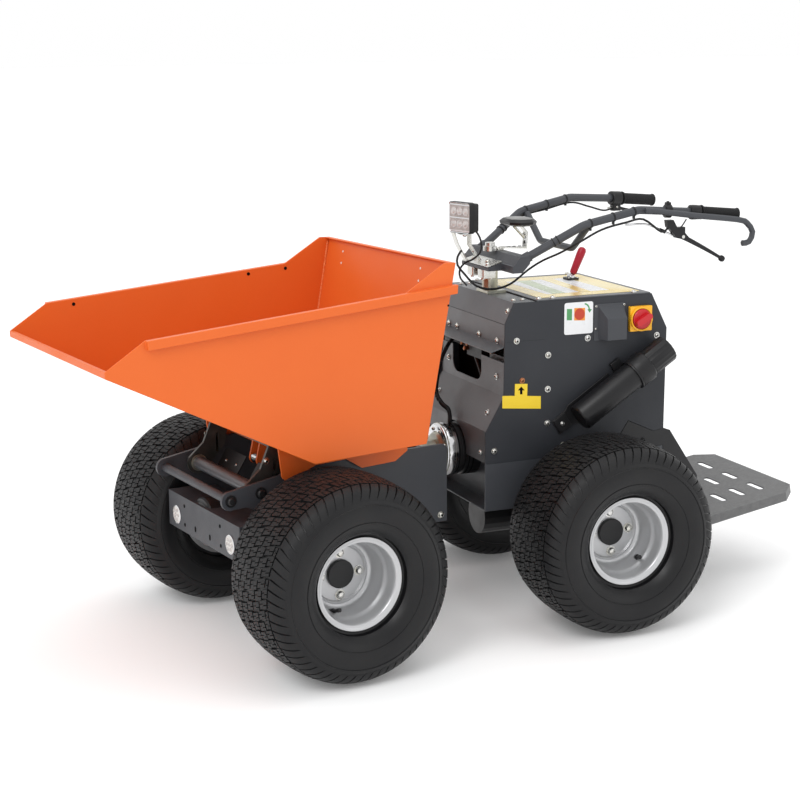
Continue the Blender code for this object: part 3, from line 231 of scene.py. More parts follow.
class Piece:
    """Faces collected for one piece, in the straight machine's coordinates, with one finish each."""

    def __init__(self):
        self.mesh = bmesh.new()
        self.finishes = []

    def number(self, material):
        if material not in self.finishes:
            self.finishes.append(material)
        return self.finishes.index(material)

    def add(self, points, faces, material, smooth=True):
        verts = [self.mesh.verts.new(p) for p in points]
        number = self.number(material)
        for corners in faces:
            face = self.mesh.faces.new([verts[i] for i in corners])
            face.material_index = number
            face.smooth = smooth
        return self

    def turned(self, profile, start, way, material, sides=24, smooth=True):
        """An open profile of (along, radius) points turned round the line from start along way."""
        turn = towards(start, way)
        points, rings, faces = [], [], []
        for along, radius in profile:
            count = 1 if radius == 0 else sides
            rings.append(range(len(points), len(points) + count))
            for i in range(count):
                angle = 2 * pi * (i + 0.5) / sides
                points.append(turn @ Vector((along, radius * sin(angle), radius * cos(angle))))
        for one, two in zip(rings, rings[1:]):
            for i in range(sides):
                j = (i + 1) % sides
                corners = [one[i % len(one)], one[j % len(one)], two[j % len(two)], two[i % len(two)]]
                corners = list(dict.fromkeys(corners))
                if len(corners) > 2:
                    faces.append(corners)
        return self.add(points, faces, material, smooth)

    def round_axle(self, profile, material, sides):
        """A profile turned round the x axis, for a wheel."""
        return self.turned(profile, (0, 0, 0), (1, 0, 0), material, sides)

    def disc(self, spot, way, radius, height, material, sides=16, smooth=True):
        """A short round bar that is open at its foot."""
        return self.turned([(0, radius), (height, radius), (height, 0)], spot, way, material, sides, smooth)

    def prism(self, outline, axis, low, high, material, smooth=False):
        place = {"X": lambda a, b, t: (t, a, b), "Y": lambda a, b, t: (a, t, b), "Z": lambda a, b,
                 t: (a, b, t)}[axis]
        count = len(outline)
        points = [place(a, b, t) for t in (low, high) for a, b in outline]
        faces = [list(range(count)), list(range(2 * count - 1, count - 1, -1))]
        return self.add(points, faces + band(count), material, smooth)

    def box(self, x, y, z, material):
        return self.prism([(x[0], y[0]), (x[1], y[0]), (x[1], y[1]), (x[0], y[1])], "Z", z[0], z[1], material)

    def tube(self, points, radius, material, sides=10):
        """A round bar along a route, with a frame carried from point to point."""
        points = [Vector(p) for p in points]
        ways = [(b - a).normalized() for a, b in zip(points, points[1:])]
        normal = ways[0].orthogonal().normalized()
        verts = []
        for i, point in enumerate(points):
            way = ways[min(i, len(ways) - 1)]
            if 0 < i < len(ways):
                way = (ways[i - 1] + ways[i]).normalized()
            normal = (normal - way * normal.dot(way)).normalized()
            side = way.cross(normal)
            size = radius(i / (len(points) - 1)) if callable(radius) else radius
            for k in range(sides):
                angle = 2 * pi * k / sides
                verts.append(point + (normal * cos(angle) + side * sin(angle)) * size)
        ends = [list(range(sides - 1, -1, -1)), list(range(len(verts) - sides, len(verts)))]
        return self.add(verts, band(sides, len(points) - 1) + ends, material)

    def bolt(self, spot, way, radius, material=ZINC, washer=True):
        """A button head with a socket, on a washer."""
        height = radius * 0.75
        spot, way = Vector(spot), Vector(way)
        base = 0.0
        if washer:
            base = radius * 0.22
            self.turned([(0, radius * 1.35), (base, radius * 1.35), (base, 0)], spot, way, material, 20)
        head = [(base, radius), (base + height * 0.45, radius * 0.97), (base + height * 0.8, radius * 0.78),
                (base + height, radius * 0.5), (base + height, radius * 0.42)]
        self.turned(head, spot, way, material, 18)
        # The socket's recess is near-black: painted shade.
        return self.turned([(base + height, radius * 0.42), (base + height * 0.5, radius * 0.4),
                            (base + height * 0.5, 0)], spot, way, DARK_AND_PAINTED_SHADE, 6, smooth=False)

    def done(self, name, body, place, bevel=0.0, slot=None, angle=35):
        bmesh.ops.recalc_face_normals(self.mesh, faces=self.mesh.faces)
        data = bpy.data.meshes.new(name)
        self.mesh.to_mesh(data)
        self.mesh.free()
        for material in self.finishes:
            data.materials.append(material)
        data.transform(place)
        data.set_sharp_from_angle(angle=radians(angle))
        piece = bpy.data.objects.new(name, data)
        bpy.context.scene.collection.objects.link(piece)
        if bevel:
            soften(piece, bevel, angle)
        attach(piece, body)
        return piece


def smooth_route(points, spacing):
    """Points at an even spacing on a Catmull-Rom curve through the route's own points."""
    points = [Vector(p) for p in points]
    padded = [points[0] * 2 - points[1], *points, points[-1] * 2 - points[-2]]
    route = []
    for a, b, c, d in zip(padded, padded[1:], padded[2:], padded[3:]):
        steps = max(2, ceil((c - b).length / spacing))
        for i in range(steps):
            t = i / steps
            route.append(0.5 * (2 * b + (c - a) * t + (2 * a - 5 * b + 4 * c - d) * t ** 2
                                + (3 * b - a - 3 * c + d) * t ** 3))
    route.append(points[-1])
    return route


def arc(centre, radius, first, last, steps=8):
    angles = [radians(first + (last - first) * i / steps) for i in range(steps + 1)]
    return [(centre[0] + radius * cos(a), centre[1] + radius * sin(a)) for a in angles]


def rounded(low, high, radius, steps=4):
    """The outline of a rectangle with round corners."""
    corners = [((high[0] - radius, high[1] - radius), 0), ((low[0] + radius, high[1] - radius), 90),
               ((low[0] + radius, low[1] + radius), 180), ((high[0] - radius, low[1] + radius), 270)]
    return [p for centre, angle in corners for p in arc(centre, radius, angle, angle + 90, steps)]


# ---------------------------------------------------------------- wheels

ROWS = 60               # rows of tread blocks round a tyre
COLUMNS = 6
COLUMN = 0.0306         # width of a column of blocks
HALF_TREAD = COLUMNS * COLUMN / 2
SLANT = 0.32            # how far the rows lean, per distance across
BLOCK_HEIGHT = 0.0058
GROOVE = 0.0016         # half the groove between two blocks
SMALLEST_BLOCK = 0.008

CARCASS = [
    (0.0902, 0.1142), (0.0925, 0.1212), (0.0985, 0.1236), (0.1055, 0.1225), (0.114, 0.1295), (0.1225, 0.1415),
    (0.1282, 0.155), (0.1312, 0.169), (0.132, 0.183), (0.13, 0.1975), (0.1248, 0.2105), (0.1165, 0.2215),
    (0.105, 0.23), (0.089, 0.2362), (0.066, 0.2402), (0.034, 0.2422), (0.0, 0.2428),
]


def carcass_lengths():
    """Arc length from the crown to each point of the carcass, crown first."""
    points = [Vector(p) for p in reversed(CARCASS)]
    lengths = [0.0]
    for one, two in zip(points, points[1:]):
        lengths.append(lengths[-1] + (two - one).length)
    return points, lengths


CROWN_POINTS, CROWN_LENGTHS = carcass_lengths()


def on_carcass(angle, along, height):
    """A point over the carcass: angle round the axle, arc length from the crown, height off the surface."""
    side = -1 if along < 0 else 1
    reach = abs(along)
    i = next(k for k in range(1,
                              len(CROWN_LENGTHS)) if reach <= CROWN_LENGTHS[k] or k == len(CROWN_LENGTHS) - 1)
    one, two = CROWN_POINTS[i - 1], CROWN_POINTS[i]
    share = (reach - CROWN_LENGTHS[i - 1]) / (CROWN_LENGTHS[i] - CROWN_LENGTHS[i - 1])
    spot = one.lerp(two, share)
    way = (two - one).normalized()
    spot = spot + Vector((-way.y, way.x)) * height
    x, radius = side * spot.x, spot.y
    return Vector((x, radius * sin(angle), radius * cos(angle)))


def block(piece, outline):
    """A tread block over an outline of (distance round, distance across) points."""
    count = len(outline)
    middle = [sum(p[i] for p in outline) / count for i in (0, 1)]
    low = [on_carcass(u / TYRE, v, -0.001) for u, v in outline]
    drawn = [[m + (c - m) * 0.93 for c, m in zip(p, middle)] for p in outline]
    high = [on_carcass(u / TYRE, v, BLOCK_HEIGHT) for u, v in drawn]
    piece.add(low + high, [list(range(count, 2 * count))] + band(count), TREAD, smooth=False)


def tread(piece):
    """Staggered blocks, each split by a stepped sipe, between long shoulder lugs."""
    pitch = 2 * pi * TYRE / ROWS
    ends = [HALF_TREAD + 0.001, 0.1, 0.109, 0.118, 0.127, 0.137]
    heights = [BLOCK_HEIGHT, 0.0056, 0.005, 0.004, 0.0026, 0.0004]
    low, high, step, cut = 0.07, 0.93, 0.09, 0.035
    for row in range(ROWS):
        base = row * pitch
        shift = (row % 3 - 1) * COLUMN / 3
        for column in range(-1, COLUMNS + 1):
            left = max(-HALF_TREAD + column * COLUMN + shift, -HALF_TREAD)
            right = min(-HALF_TREAD + (column + 1) * COLUMN + shift, HALF_TREAD)
            if right - left < SMALLEST_BLOCK:
                continue
            a, b = left + GROOVE, right - GROOVE
            c = (a + b) / 2
            lift = (column % 2) * pitch * 0.12

            def at(v, share):
                return base + SLANT * v + lift + pitch * share, v

            block(piece, [at(a, low), at(b, low), at(b, 0.5 - step - cut), at(c, 0.5 - step - cut),
                          at(c, 0.5 + step - cut), at(a, 0.5 + step - cut)])
            block(piece, [at(a, 0.5 + step + cut), at(c, 0.5 + step + cut), at(c, 0.5 - step + cut),
                          at(b, 0.5 - step + cut), at(b, high), at(a, high)])
        for side in (-1, 1):
            points, faces = [], []
            for v, height in zip(ends, heights):
                bend = 0.9 * (v - HALF_TREAD) ** 1.2 * side
                for share, lifted in ((0.05, -0.001), (0.09, height), (0.91, height), (0.95, -0.001)):
                    u = base + SLANT * HALF_TREAD * side - bend + pitch * share
                    points.append(on_carcass(u / TYRE, side * v, lifted))
            for i in range(len(ends) - 1):
                for k in range(3):
                    faces.append([4 * i + k, 4 * i + k + 1, 4 * i + k + 5, 4 * i + k + 4])
            faces.append([0, 1, 2, 3])
            piece.add(points, faces, TREAD)


def tyre(place, body, matrix):
    piece = Piece()
    profile = CARCASS + [(-x, r) for x, r in reversed(CARCASS[:-1])]
    inside = [(-0.0902, 0.1142), (-0.0899, 0.1045), (0.0899, 0.1045), (0.0902, 0.1142)]
    piece.round_axle(profile + inside[1:], SIDEWALL, 96)
    for side in (-1, 1):
        for radius, wide in ((0.15, 0.0012), (0.1985, 0.0014)):
            i = min(range(len(CARCASS)), key=lambda k: abs(CARCASS[k][1] - radius))
            x, r = CARCASS[i]
            ring = [(side * (x - 0.0005), r - wide), (side * (x + 0.0012), r - wide * 0.5),
                    (side * (x + 0.0012), r + wide * 0.5), (side * (x - 0.0005), r + wide)]
            piece.round_axle(ring, SIDEWALL, 96)
    tread(piece)
    done = piece.done(f"{place}_tyre_with_tread", body, matrix, angle=32)
    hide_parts(f"{place}_tyre")


def rim(place, body, matrix, stem_angle):
    """A silver rim with a deep disc, four bolts, a black hub cap and a valve."""
    disc = RIM_DISC
    piece = Piece()
    outer = [(0.0915, 0.1005), (0.093, 0.106), (0.094, 0.111), (0.0952, 0.1132), (0.0957, 0.1125),
             (0.0952, 0.1095), (0.093, 0.106), (0.0905, 0.1015), (0.087, 0.099), (0.08, 0.0978),
             (0.07, 0.097), (0.062, 0.0962), (0.056, 0.094), (0.052, 0.0905), (0.048, 0.0885), (0.04, 0.0876),
             (0.022, 0.0868), (0.012, 0.0858), (disc + 0.008, 0.0835), (disc + 0.004, 0.079),
             (disc + 0.003, 0.0745), (disc + 0.0042, 0.0725), (disc + 0.0042, 0.07), (disc, 0.066),
             (disc, 0.035)]
    piece.round_axle(outer, SILVER, 72)
    back = [(disc - 0.004, 0.034), (disc - 0.004, 0.074), (disc - 0.008, 0.088), (-0.04, 0.09),
            (-0.07, 0.096), (-0.0905, 0.1), (-0.095, 0.1125), (-0.0955, 0.1135), (-0.0905, 0.113),
            (-0.09, 0.1035), (0.09, 0.1035), (0.0915, 0.1005)]
    piece.round_axle(back, SILVER, 72)
    hub = [(-0.058, 0.0), (-0.058, 0.034), (disc - 0.004, 0.034), (disc - 0.004, 0.046)]
    piece.round_axle(hub, BLACK_PAINT, 32)
    cap = [(disc, 0.035), (disc + 0.0075, 0.0348), (disc + 0.009, 0.0335), (disc + 0.0092, 0.0)]
    piece.round_axle(cap, BLACK, 40)
    for k in range(4):
        angle = radians(90 * k)
        spot = (disc, 0.0525 * cos(angle), 0.0525 * sin(angle))
        piece.turned([(0, 0.013), (0.0014, 0.013), (0.0014, 0.01)], spot, (1, 0, 0), ZINC, 24)
        piece.turned([(0.0014, 0.01), (0.0065, 0.0098), (0.01, 0.0074), (0.0114, 0.0035), (0.0116, 0.0)],
                     spot, (1, 0, 0), ZINC, 24)
    angle = radians(stem_angle)
    stem = Vector((0.04, 0.086 * cos(angle), 0.086 * sin(angle)))
    lean = Vector((1.0, -0.45 * cos(angle), -0.45 * sin(angle)))
    piece.turned([(-0.01, 0.0078), (0.002, 0.0074), (0.004, 0.0048), (0.018, 0.0044), (0.019, 0.0054),
                  (0.027, 0.0052), (0.028, 0.0)], stem, lean, BLACK, 16)
    done = piece.done(f"{place}_rim_details", body, matrix)
    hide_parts(f"{place}_rim")


WHEEL_TURN = {"rear_left": (4, 308), "front_left": (0, 240), "rear_right": (20, 60),
              "front_right": (-15, 120)}


def wheels():
    for end, base, y in (("rear", REAR, 0.409), ("front", FRONT, -0.409)):
        for name, side in (("left", 1), ("right", -1)):
            place = f"{end}_{name}"
            roll, stem_angle = WHEEL_TURN[place]
            turn = Matrix.Rotation(0 if side > 0 else pi, 4, "Z")
            matrix = base @ Matrix.Translation((side * HALF_TRACK, y, AXLE_Z)) @ turn
            tyre(place, f"{place}_wheel", matrix)
            rim(place, f"{place}_wheel", matrix @ Matrix.Rotation(radians(roll), 4, "X"), stem_angle)


# ---------------------------------------------------------------- CAD nodes' finishes and edges

NODE_FINISH = {node: value for value, names in (
    (ORANGE, "skip_floor skip_side_left skip_side_right skip_rear_wall skip_under_frame"),
    (DARK_ZINC, "skip_hinge"),
    (ZINC, "tip_shaft"),
    (BLACK_PAINT, "front_axle rear_axle swing_bearing tip_cylinder_barrel steering_cylinder_barrel "
                  "step_side_plate_left step_side_plate_right"),
    (YELLOW_ZINC, "pivot_knuckle handlebar_bracket"),
    (GREY_BLOCK, "battery"),
    (BLACK, "brake_cable hydraulic_hose brake_lever throttle_housing console document_tube work_light"),
    (YELLOW, "main_switch"),
    (LEVER_RED, "parking_lever"),
    (CHROME, "tip_cylinder_rod steering_cylinder_rod"),
    (GRIP, "grip_left grip_right"),
    (STEP_PAINT, "step_platform"),
    # The covers get the anthracite painted lighter, as painted light.
    (ANTHRACITE_LIT, "front_upper_cover front_lower_cover top_cover"),
    (PANEL_PAINT, "side_panel_left side_panel_right"),
) for node in names.split()}
SOFT_EDGES = {node: value for value, names in (
    (0.001, "skip_floor top_cover step_side_plate_left step_side_plate_right handlebar_base"),
    (0.0014, "skip_side_left skip_side_right skip_under_frame front_side_plate_left "
             "front_side_plate_right"),
    (0.0012, "skip_rear_wall step_platform rear_chassis"),
    (0.0016, "front_axle_box"),
    (0.0009, "side_panel_left side_panel_right rear_cover front_upper_cover front_lower_cover"),
) for node in names.split()}


def dress_nodes():
    for name, node in nodes.items():
        node.data.materials.clear()
        node.data.materials.append(NODE_FINISH.get(name, ANTHRACITE))
        if name in SOFT_EDGES:
            weld = node.modifiers.new("weld", "WELD")
            weld.merge_threshold = 0.00002
            soften(node, SOFT_EDGES[name], 28)


# ---------------------------------------------------------------- front half

def front_details():
    """Bolts and stops of the front frame, its box's lamps and its slots in painted shade, and the drive
    motor's casing.
    """
    piece = Piece()
    radius = 0.0105
    head = [(0, 0.015), (0.0014, 0.015), (0.0014, radius), (0.0055, radius * 0.96), (0.008, radius * 0.7),
            (0.0085, 0.0)]
    for side in (-1, 1):
        for y, z in (NOSE_BOLT, CROSS_TUBE):
            piece.turned(head, (side * PLATE, y, z), (side, 0, 0), BLACK_PAINT, 24)
        for y, z in ((-0.06, 0.3), (-0.02, 0.3)):
            piece.bolt((side * PLATE, y, z), (side, 0, 0), 0.007)
    sleeve = [(-0.155, 0.0), (-0.155, 0.0165), (0.155, 0.0165), (0.155, 0.0)]
    piece.turned(sleeve, (0, *CROSS_TUBE), (1, 0, 0), ANTHRACITE_LIT, 28)
    for x in (-0.1565, 0.1565):
        piece.turned([(0, 0.0165), (0, 0.0215), (0.0035, 0.0215), (0.0035, 0.0)], (x - 0.00175, *CROSS_TUBE),
                     (1, 0, 0), YELLOW_ZINC, 24)
    for side in (-1, 1):
        piece.prism([(-0.495, 0.393), (-0.452, 0.46), (-0.4545, 0.4618), (-0.4975, 0.3948)], "X",
                    *sorted((side * 0.034, side * 0.15)), BLACK_PAINT)
        share = 0.62
        for x in (0.06, 0.118):
            spot = (side * x, -0.4975 + 0.043 * share, 0.3948 + 0.067 * share)
            piece.bolt(spot, (0, -0.84, 0.54), 0.0042, washer=False)
    piece.done("front_frame_fixings", "front_frame", FRONT)

    piece = Piece()
    # The box's holes and slots are near-black discs and marks on its face: painted shade in the openings.
    for x, z in ((-0.111, 0.334), (-0.11, 0.285), (0.1, 0.333), (0.103, 0.284)):
        piece.disc((x, BOX_FACE, z), (0, -1, 0), 0.0048, 0.0004, DARK_AND_PAINTED_SHADE, 20)
    for x in (-0.046, 0.04):
        piece.prism(rounded((x - 0.0042, 0.2815), (x + 0.0042, 0.2965), 0.004), "Y", BOX_FACE - 0.0004,
                    BOX_FACE, DARK_AND_PAINTED_SHADE)
    for x in (-0.158, 0.158):
        z = 0.3015
        piece.turned([(0, 0.0245), (0.0016, 0.0245), (0.0026, 0.0232), (0.0026, 0.0218)], (x, BOX_FACE, z),
                     (0, -1, 0), CHROME, 40)
        piece.turned([(0.0022, 0.0218), (0.0032, 0.015), (0.0036, 0.0)], (x, BOX_FACE, z), (0, -1, 0), LAMP,
                     40)
        for k in range(7):
            r, angle = (0.0, 0.0) if k == 6 else (0.0125, k * pi / 3)
            spot = (x + r * cos(angle), BOX_FACE - 0.003, z + r * sin(angle))
            piece.turned([(0, 0.0048), (0.0012, 0.0042), (0.002, 0.0022), (0.0021, 0.0)], spot, (0, -1, 0),
                         LED, 14)
    piece.done("front_box_lights", "front_frame", FRONT)

    piece = Piece()
    belly = [(0.0, 0.0), (0.0, 0.058), (0.004, 0.062), (0.1, 0.062), (0.104, 0.058), (0.104, 0.0)]
    lid = [(-0.0005, 0.05), (-0.003, 0.046), (-0.003, 0.0)]
    for profile, sides in ((belly, 40), (lid, 32)):
        piece.turned(profile, (-0.022, -0.585, 0.3135), (0, 1, 0), BLACK_PAINT, sides)
    piece.done("front_motor_casing", "front_frame", FRONT)


def front_hoses():
    """Short hoses with a fitting at each end, fixed to the front frame."""
    piece = Piece()
    for x, z in ((-0.06, 0.345), (0.06, 0.35)):
        route = smooth_route([(x, -0.086, 0.33), (x, -0.13, z), (x * 0.8, -0.2, 0.345),
                              (x * 0.6, -0.27, 0.32), (x * 0.5, -0.33, 0.292)], 0.012)
        piece.tube(route, 0.0062, BLACK, 12)
        for end, way in ((route[0], (0, 1, 0)), (route[-1], route[-1] - route[-2])):
            piece.turned([(-0.014, 0.0), (-0.014, 0.0085), (0.0, 0.0085), (0.001, 0.0)], end, way, ZINC, 6,
                         smooth=False)
    piece.done("front_hoses", "front_frame", FRONT)


# ---------------------------------------------------------------- skip

RIPPLE = 0.0045         # distance between the ripples of a weld


def weld_bead(piece, one, two, radius, material=WELD):
    """A row of overlapping ripples along a seam."""
    one, two = Vector(one), Vector(two)
    count = max(3, int((two - one).length / RIPPLE))
    route = [one.lerp(two, i / (3 * count)) for i in range(3 * count + 1)]
    piece.tube(route, lambda t: radius * (1.0 + 0.3 * sin(2 * pi * t * count)), material, 6)


def skip_details():
    """Weld beads inside the skip, its small holes (some painted dark as shade, some pale as light through
    them) and the fixings of its hinge.
    """
    piece = Piece()
    for side in (-1, 1):
        x = side * (SKIP_INSIDE - 0.0006)
        # The corner bead takes the paler weld colour, a painted highlight.
        weld_bead(piece, (x, -0.1336, 0.531), (x, -0.06, 0.955), 0.003)
        weld_bead(piece, (x, -0.44, 0.5205), (x, -0.142, 0.53), 0.0018, material=ORANGE)
        weld_bead(piece, (x, -0.945, 0.774), (x, -0.446, 0.5215), 0.0018, material=ORANGE)
    weld_bead(piece, (-SKIP_INSIDE, -0.1385, 0.5305), (SKIP_INSIDE, -0.1385, 0.5305), 0.0018, material=ORANGE)
    piece.done("skip_welds", "skip", FRONT)

    piece = Piece()
    # Holes in the side walls are near-black discs: painted shade in the openings.
    for side in (-1, 1):
        for y, z in ((-0.7933, 0.8442), (-0.3015, 0.8833), (-0.1906, 0.8902)):
            piece.disc((side * (SKIP_INSIDE - 0.0003), y, z), (-side, 0, 0), 0.0046, 0.0002, DARK_AND_PAINTED_SHADE)
        piece.disc((side * 0.3182, -0.073, 0.863), (side, 0, 0), 0.0028, 0.0002, DARK_AND_PAINTED_SHADE, 14)
    # Holes near the top of the rear wall are pale discs on both faces: painted light seen through them.
    lean = (0.084, 0.4405)
    for x in (-0.226, 0.17):
        for share in (0.932, 0.862):
            y, z = -0.135 + lean[0] * share, 0.5255 + lean[1] * share
            for off, way in ((-0.0044, -1), (0.0002, 1)):
                piece.disc((x, y + off, z), (0, way, -0.19 * way), 0.0032, 0.0002, PAINTED_LIGHT_HOLE, 14)
    piece.done("skip_holes", "skip", FRONT)

    piece = Piece()
    for side in (-1, 1):
        x = side * 0.164
        piece.bolt((x + side * 0.0045, -0.5, 0.5), (side, 0, 0), 0.006)
        piece.box((x - 0.004, x + 0.004), (-0.48, -0.474), (0.452, 0.5), YELLOW_ZINC)
    piece.done("skip_hinge_fixings", "skip", FRONT)


# ---------------------------------------------------------------- rear body

def body_bolts():
    """Button head bolts of the cabinet's panels and covers."""
    piece = Piece()
    spots = [(0.2202, 0.7368), (0.3112, 0.6933), (0.3109, 0.6037), (0.3106, 0.5134), (0.426, 0.7293),
             (0.633, 0.7221), (0.3569, 0.4513), (0.1582, 0.4536)]
    for side in (-1, 1):
        for y, z in spots:
            piece.bolt((side * SKIN, y, z), (side, 0, 0), BODY_BOLT)
    for x, z in ((-0.097, 0.732), (0.042, 0.732), (0.15, 0.732), (-0.15, 0.732)):
        piece.bolt((x, 0.1897, z), (0, -1, 0), BODY_BOLT)
    for x in (-0.18, 0.18):
        piece.bolt((x, 0.2046, 0.812), (0, -1, 0.45), BODY_BOLT)
        piece.bolt((x * 0.83, 0.1888, 0.6374), (0, -1, 0), BODY_BOLT)
        piece.bolt((x * 0.85, 0.1614, 0.545), (0, -0.86, 0.5), BODY_BOLT)
        piece.bolt((x * 0.92, 0.1368, 0.445), (0, -1, 0), 0.0055)
    for x, z in ((-0.089, 0.7265), (0.046, 0.7265)):
        piece.turned([(0, 0.005), (0.0008, 0.0046), (0.001, 0)], (x, 0.178, 0.7192), (0, -0.3, 1),
                     BLACK_PAINT, 16)
    for x in (-0.185, 0.185):
        for y in (0.29, 0.33, 0.5695):
            piece.bolt((x, y, TOP_FACE), (0, 0, 1), BODY_BOLT)
    for x in (-0.16, 0.16):
        for y in (0.23, 0.256):
            piece.bolt((x, y, 0.8351), (0, 0, 1), 0.0052)
        for z in (0.5, 0.62, 0.71):
            piece.bolt((x, 0.6602 + (z - 0.47) * 0.009, z), (0, 1, 0), 0.0055)
    piece.bolt((SKIN, 0.237, 0.632), (1, 0, 0), 0.0056, COPPER)
    piece.done("body_bolts", "rear_frame", REAR)


def stickers():
    """Blank plates and labels: white with coloured fields on the side, yellow ones below it and on top."""
    piece = Piece()
    x = SKIN + 0.0001
    thick = 0.0005
    piece.prism(rounded((0.357, 0.742), (0.4407, 0.8255), 0.006), "X", x, x + thick, SIGN_WHITE)
    up = x + thick
    piece.prism([(0.364, 0.7805), (0.379, 0.7795), (0.379, 0.809), (0.364, 0.81)], "X", up, up + INK, GREEN)
    piece.prism([(0.3855, 0.7785), (0.417, 0.7765), (0.417, 0.8095), (0.3855, 0.811)], "X", up, up + INK,
                ORANGE_INK)
    piece.turned([(0.0002, 0.0152), (0.0004, 0.0152), (0.0004, 0.0)], (up, 0.4012, 0.794), (1, 0, 0), RED_INK,
                 28)
    bow = arc((0.413, 0.804), 0.0185, 0, 80, 6)
    band = bow + [(0.413 + (a - 0.413) * 0.78, 0.804 + (b - 0.804) * 0.78) for a, b in reversed(bow)]
    piece.prism(band, "X", up, up + INK, GREEN)
    piece.prism([(0.424, 0.805), (0.437, 0.805), (0.4305, 0.796)], "X", up, up + INK, GREEN)
    piece.prism([(0.181, 0.564), (0.2915, 0.5535), (0.2912, 0.5868), (0.252, 0.5905), (0.2525, 0.6225),
                 (0.2165, 0.625), (0.216, 0.594), (0.1808, 0.5965)], "X", x, x + thick, SIGN_YELLOW)
    piece.prism([(0.2345, 0.617), (0.244, 0.606), (0.238, 0.6065), (0.238, 0.596), (0.231, 0.5965),
                 (0.231, 0.607), (0.225, 0.6075)], "X", up, up + INK, DARK_AND_PAINTED_SHADE)
    piece.done("side_labels", "rear_frame", REAR)

    piece = Piece()
    z = TOP_FACE + 0.0002
    piece.prism(rounded((-0.172, 0.3), (0.172, 0.596), 0.006), "Z", z, z + 0.0004, PALE_YELLOW)
    z += 0.0004
    piece.prism([(-0.12, 0.345), (0.125, 0.345), (0.125, 0.53), (-0.12, 0.53)], "Z", z, z + INK, SIGN_WHITE)
    piece.prism([(-0.12, 0.38), (0.125, 0.36), (0.125, 0.4), (-0.12, 0.42)], "Z", z, z + 0.0003, PALE_GREEN)
    piece.prism([(-0.12, 0.455), (0.125, 0.44), (0.125, 0.475), (-0.12, 0.49)], "Z", z, z + 0.0003,
                PALE_YELLOW)
    piece.done("top_label", "rear_frame", REAR)


def socket_and_switch():
    """The charging socket's hood and the rotary main switch on the left panel."""
    piece = Piece()
    x = SKIN
    piece.prism(rounded((0.444, 0.72), (0.535, 0.817), 0.004), "X", x, x + 0.0016, ANTHRACITE)
    deep = 0.0285
    hood = [(x, 0.456, 0.723), (x, 0.5285, 0.723), (x, 0.5285, 0.812), (x, 0.456, 0.812),
            (x + deep, 0.47, 0.723), (x + deep, 0.527, 0.723), (x + deep, 0.527, 0.78),
            (x + deep, 0.47, 0.78)]
    piece.add(hood, band(4) + [[4, 5, 6, 7], [3, 2, 1, 0]], ANTHRACITE, smooth=False)
    for y, z in ((0.4493, 0.811), (0.449, 0.752), (0.532, 0.811), (0.532, 0.726)):
        piece.bolt((x + 0.0016, y, z), (1, 0, 0), 0.0034, washer=False)
    cover = piece.done("socket_hood", "rear_frame", REAR, bevel=0.0012, slot="anthracite")
    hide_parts("socket_cover")

    piece = Piece()
    piece.prism(rounded((0.5465, 0.7385), (0.6115, 0.8045), 0.002), "X", x, x + 0.0105, YELLOW)
    collar = [(0.0105, 0.0325), (0.015, 0.0325), (0.0155, 0.032), (0.0155, 0.0285)]
    knob = [(0.0105, 0.0268), (0.017, 0.0264), (0.0185, 0.025), (0.0185, 0.0)]
    knob_y, knob_z = 0.579, 0.771
    for profile, material in ((collar, YELLOW), (knob, RED)):
        piece.turned(profile, (x, knob_y, knob_z), (1, 0, 0), material, 48)
    handle = rounded((-0.0085, -0.025), (0.0085, 0.025), 0.0082, 5)
    lean = radians(-62)
    leaning = [(knob_y + a * cos(lean) - b * sin(lean), knob_z + a * sin(lean) + b * cos(lean)) for a,
               b in handle]
    piece.prism(leaning, "X", x + 0.018, x + 0.031, RED)
    piece.prism(rounded((0.55, 0.753), (0.5555, 0.764), 0.001), "X", x + 0.0105, x + 0.0108, DARK_AND_PAINTED_SHADE)
    switch = piece.done("rotary_main_switch", "rear_frame", REAR, bevel=0.0014, slot="yellow")
    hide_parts("main_switch")


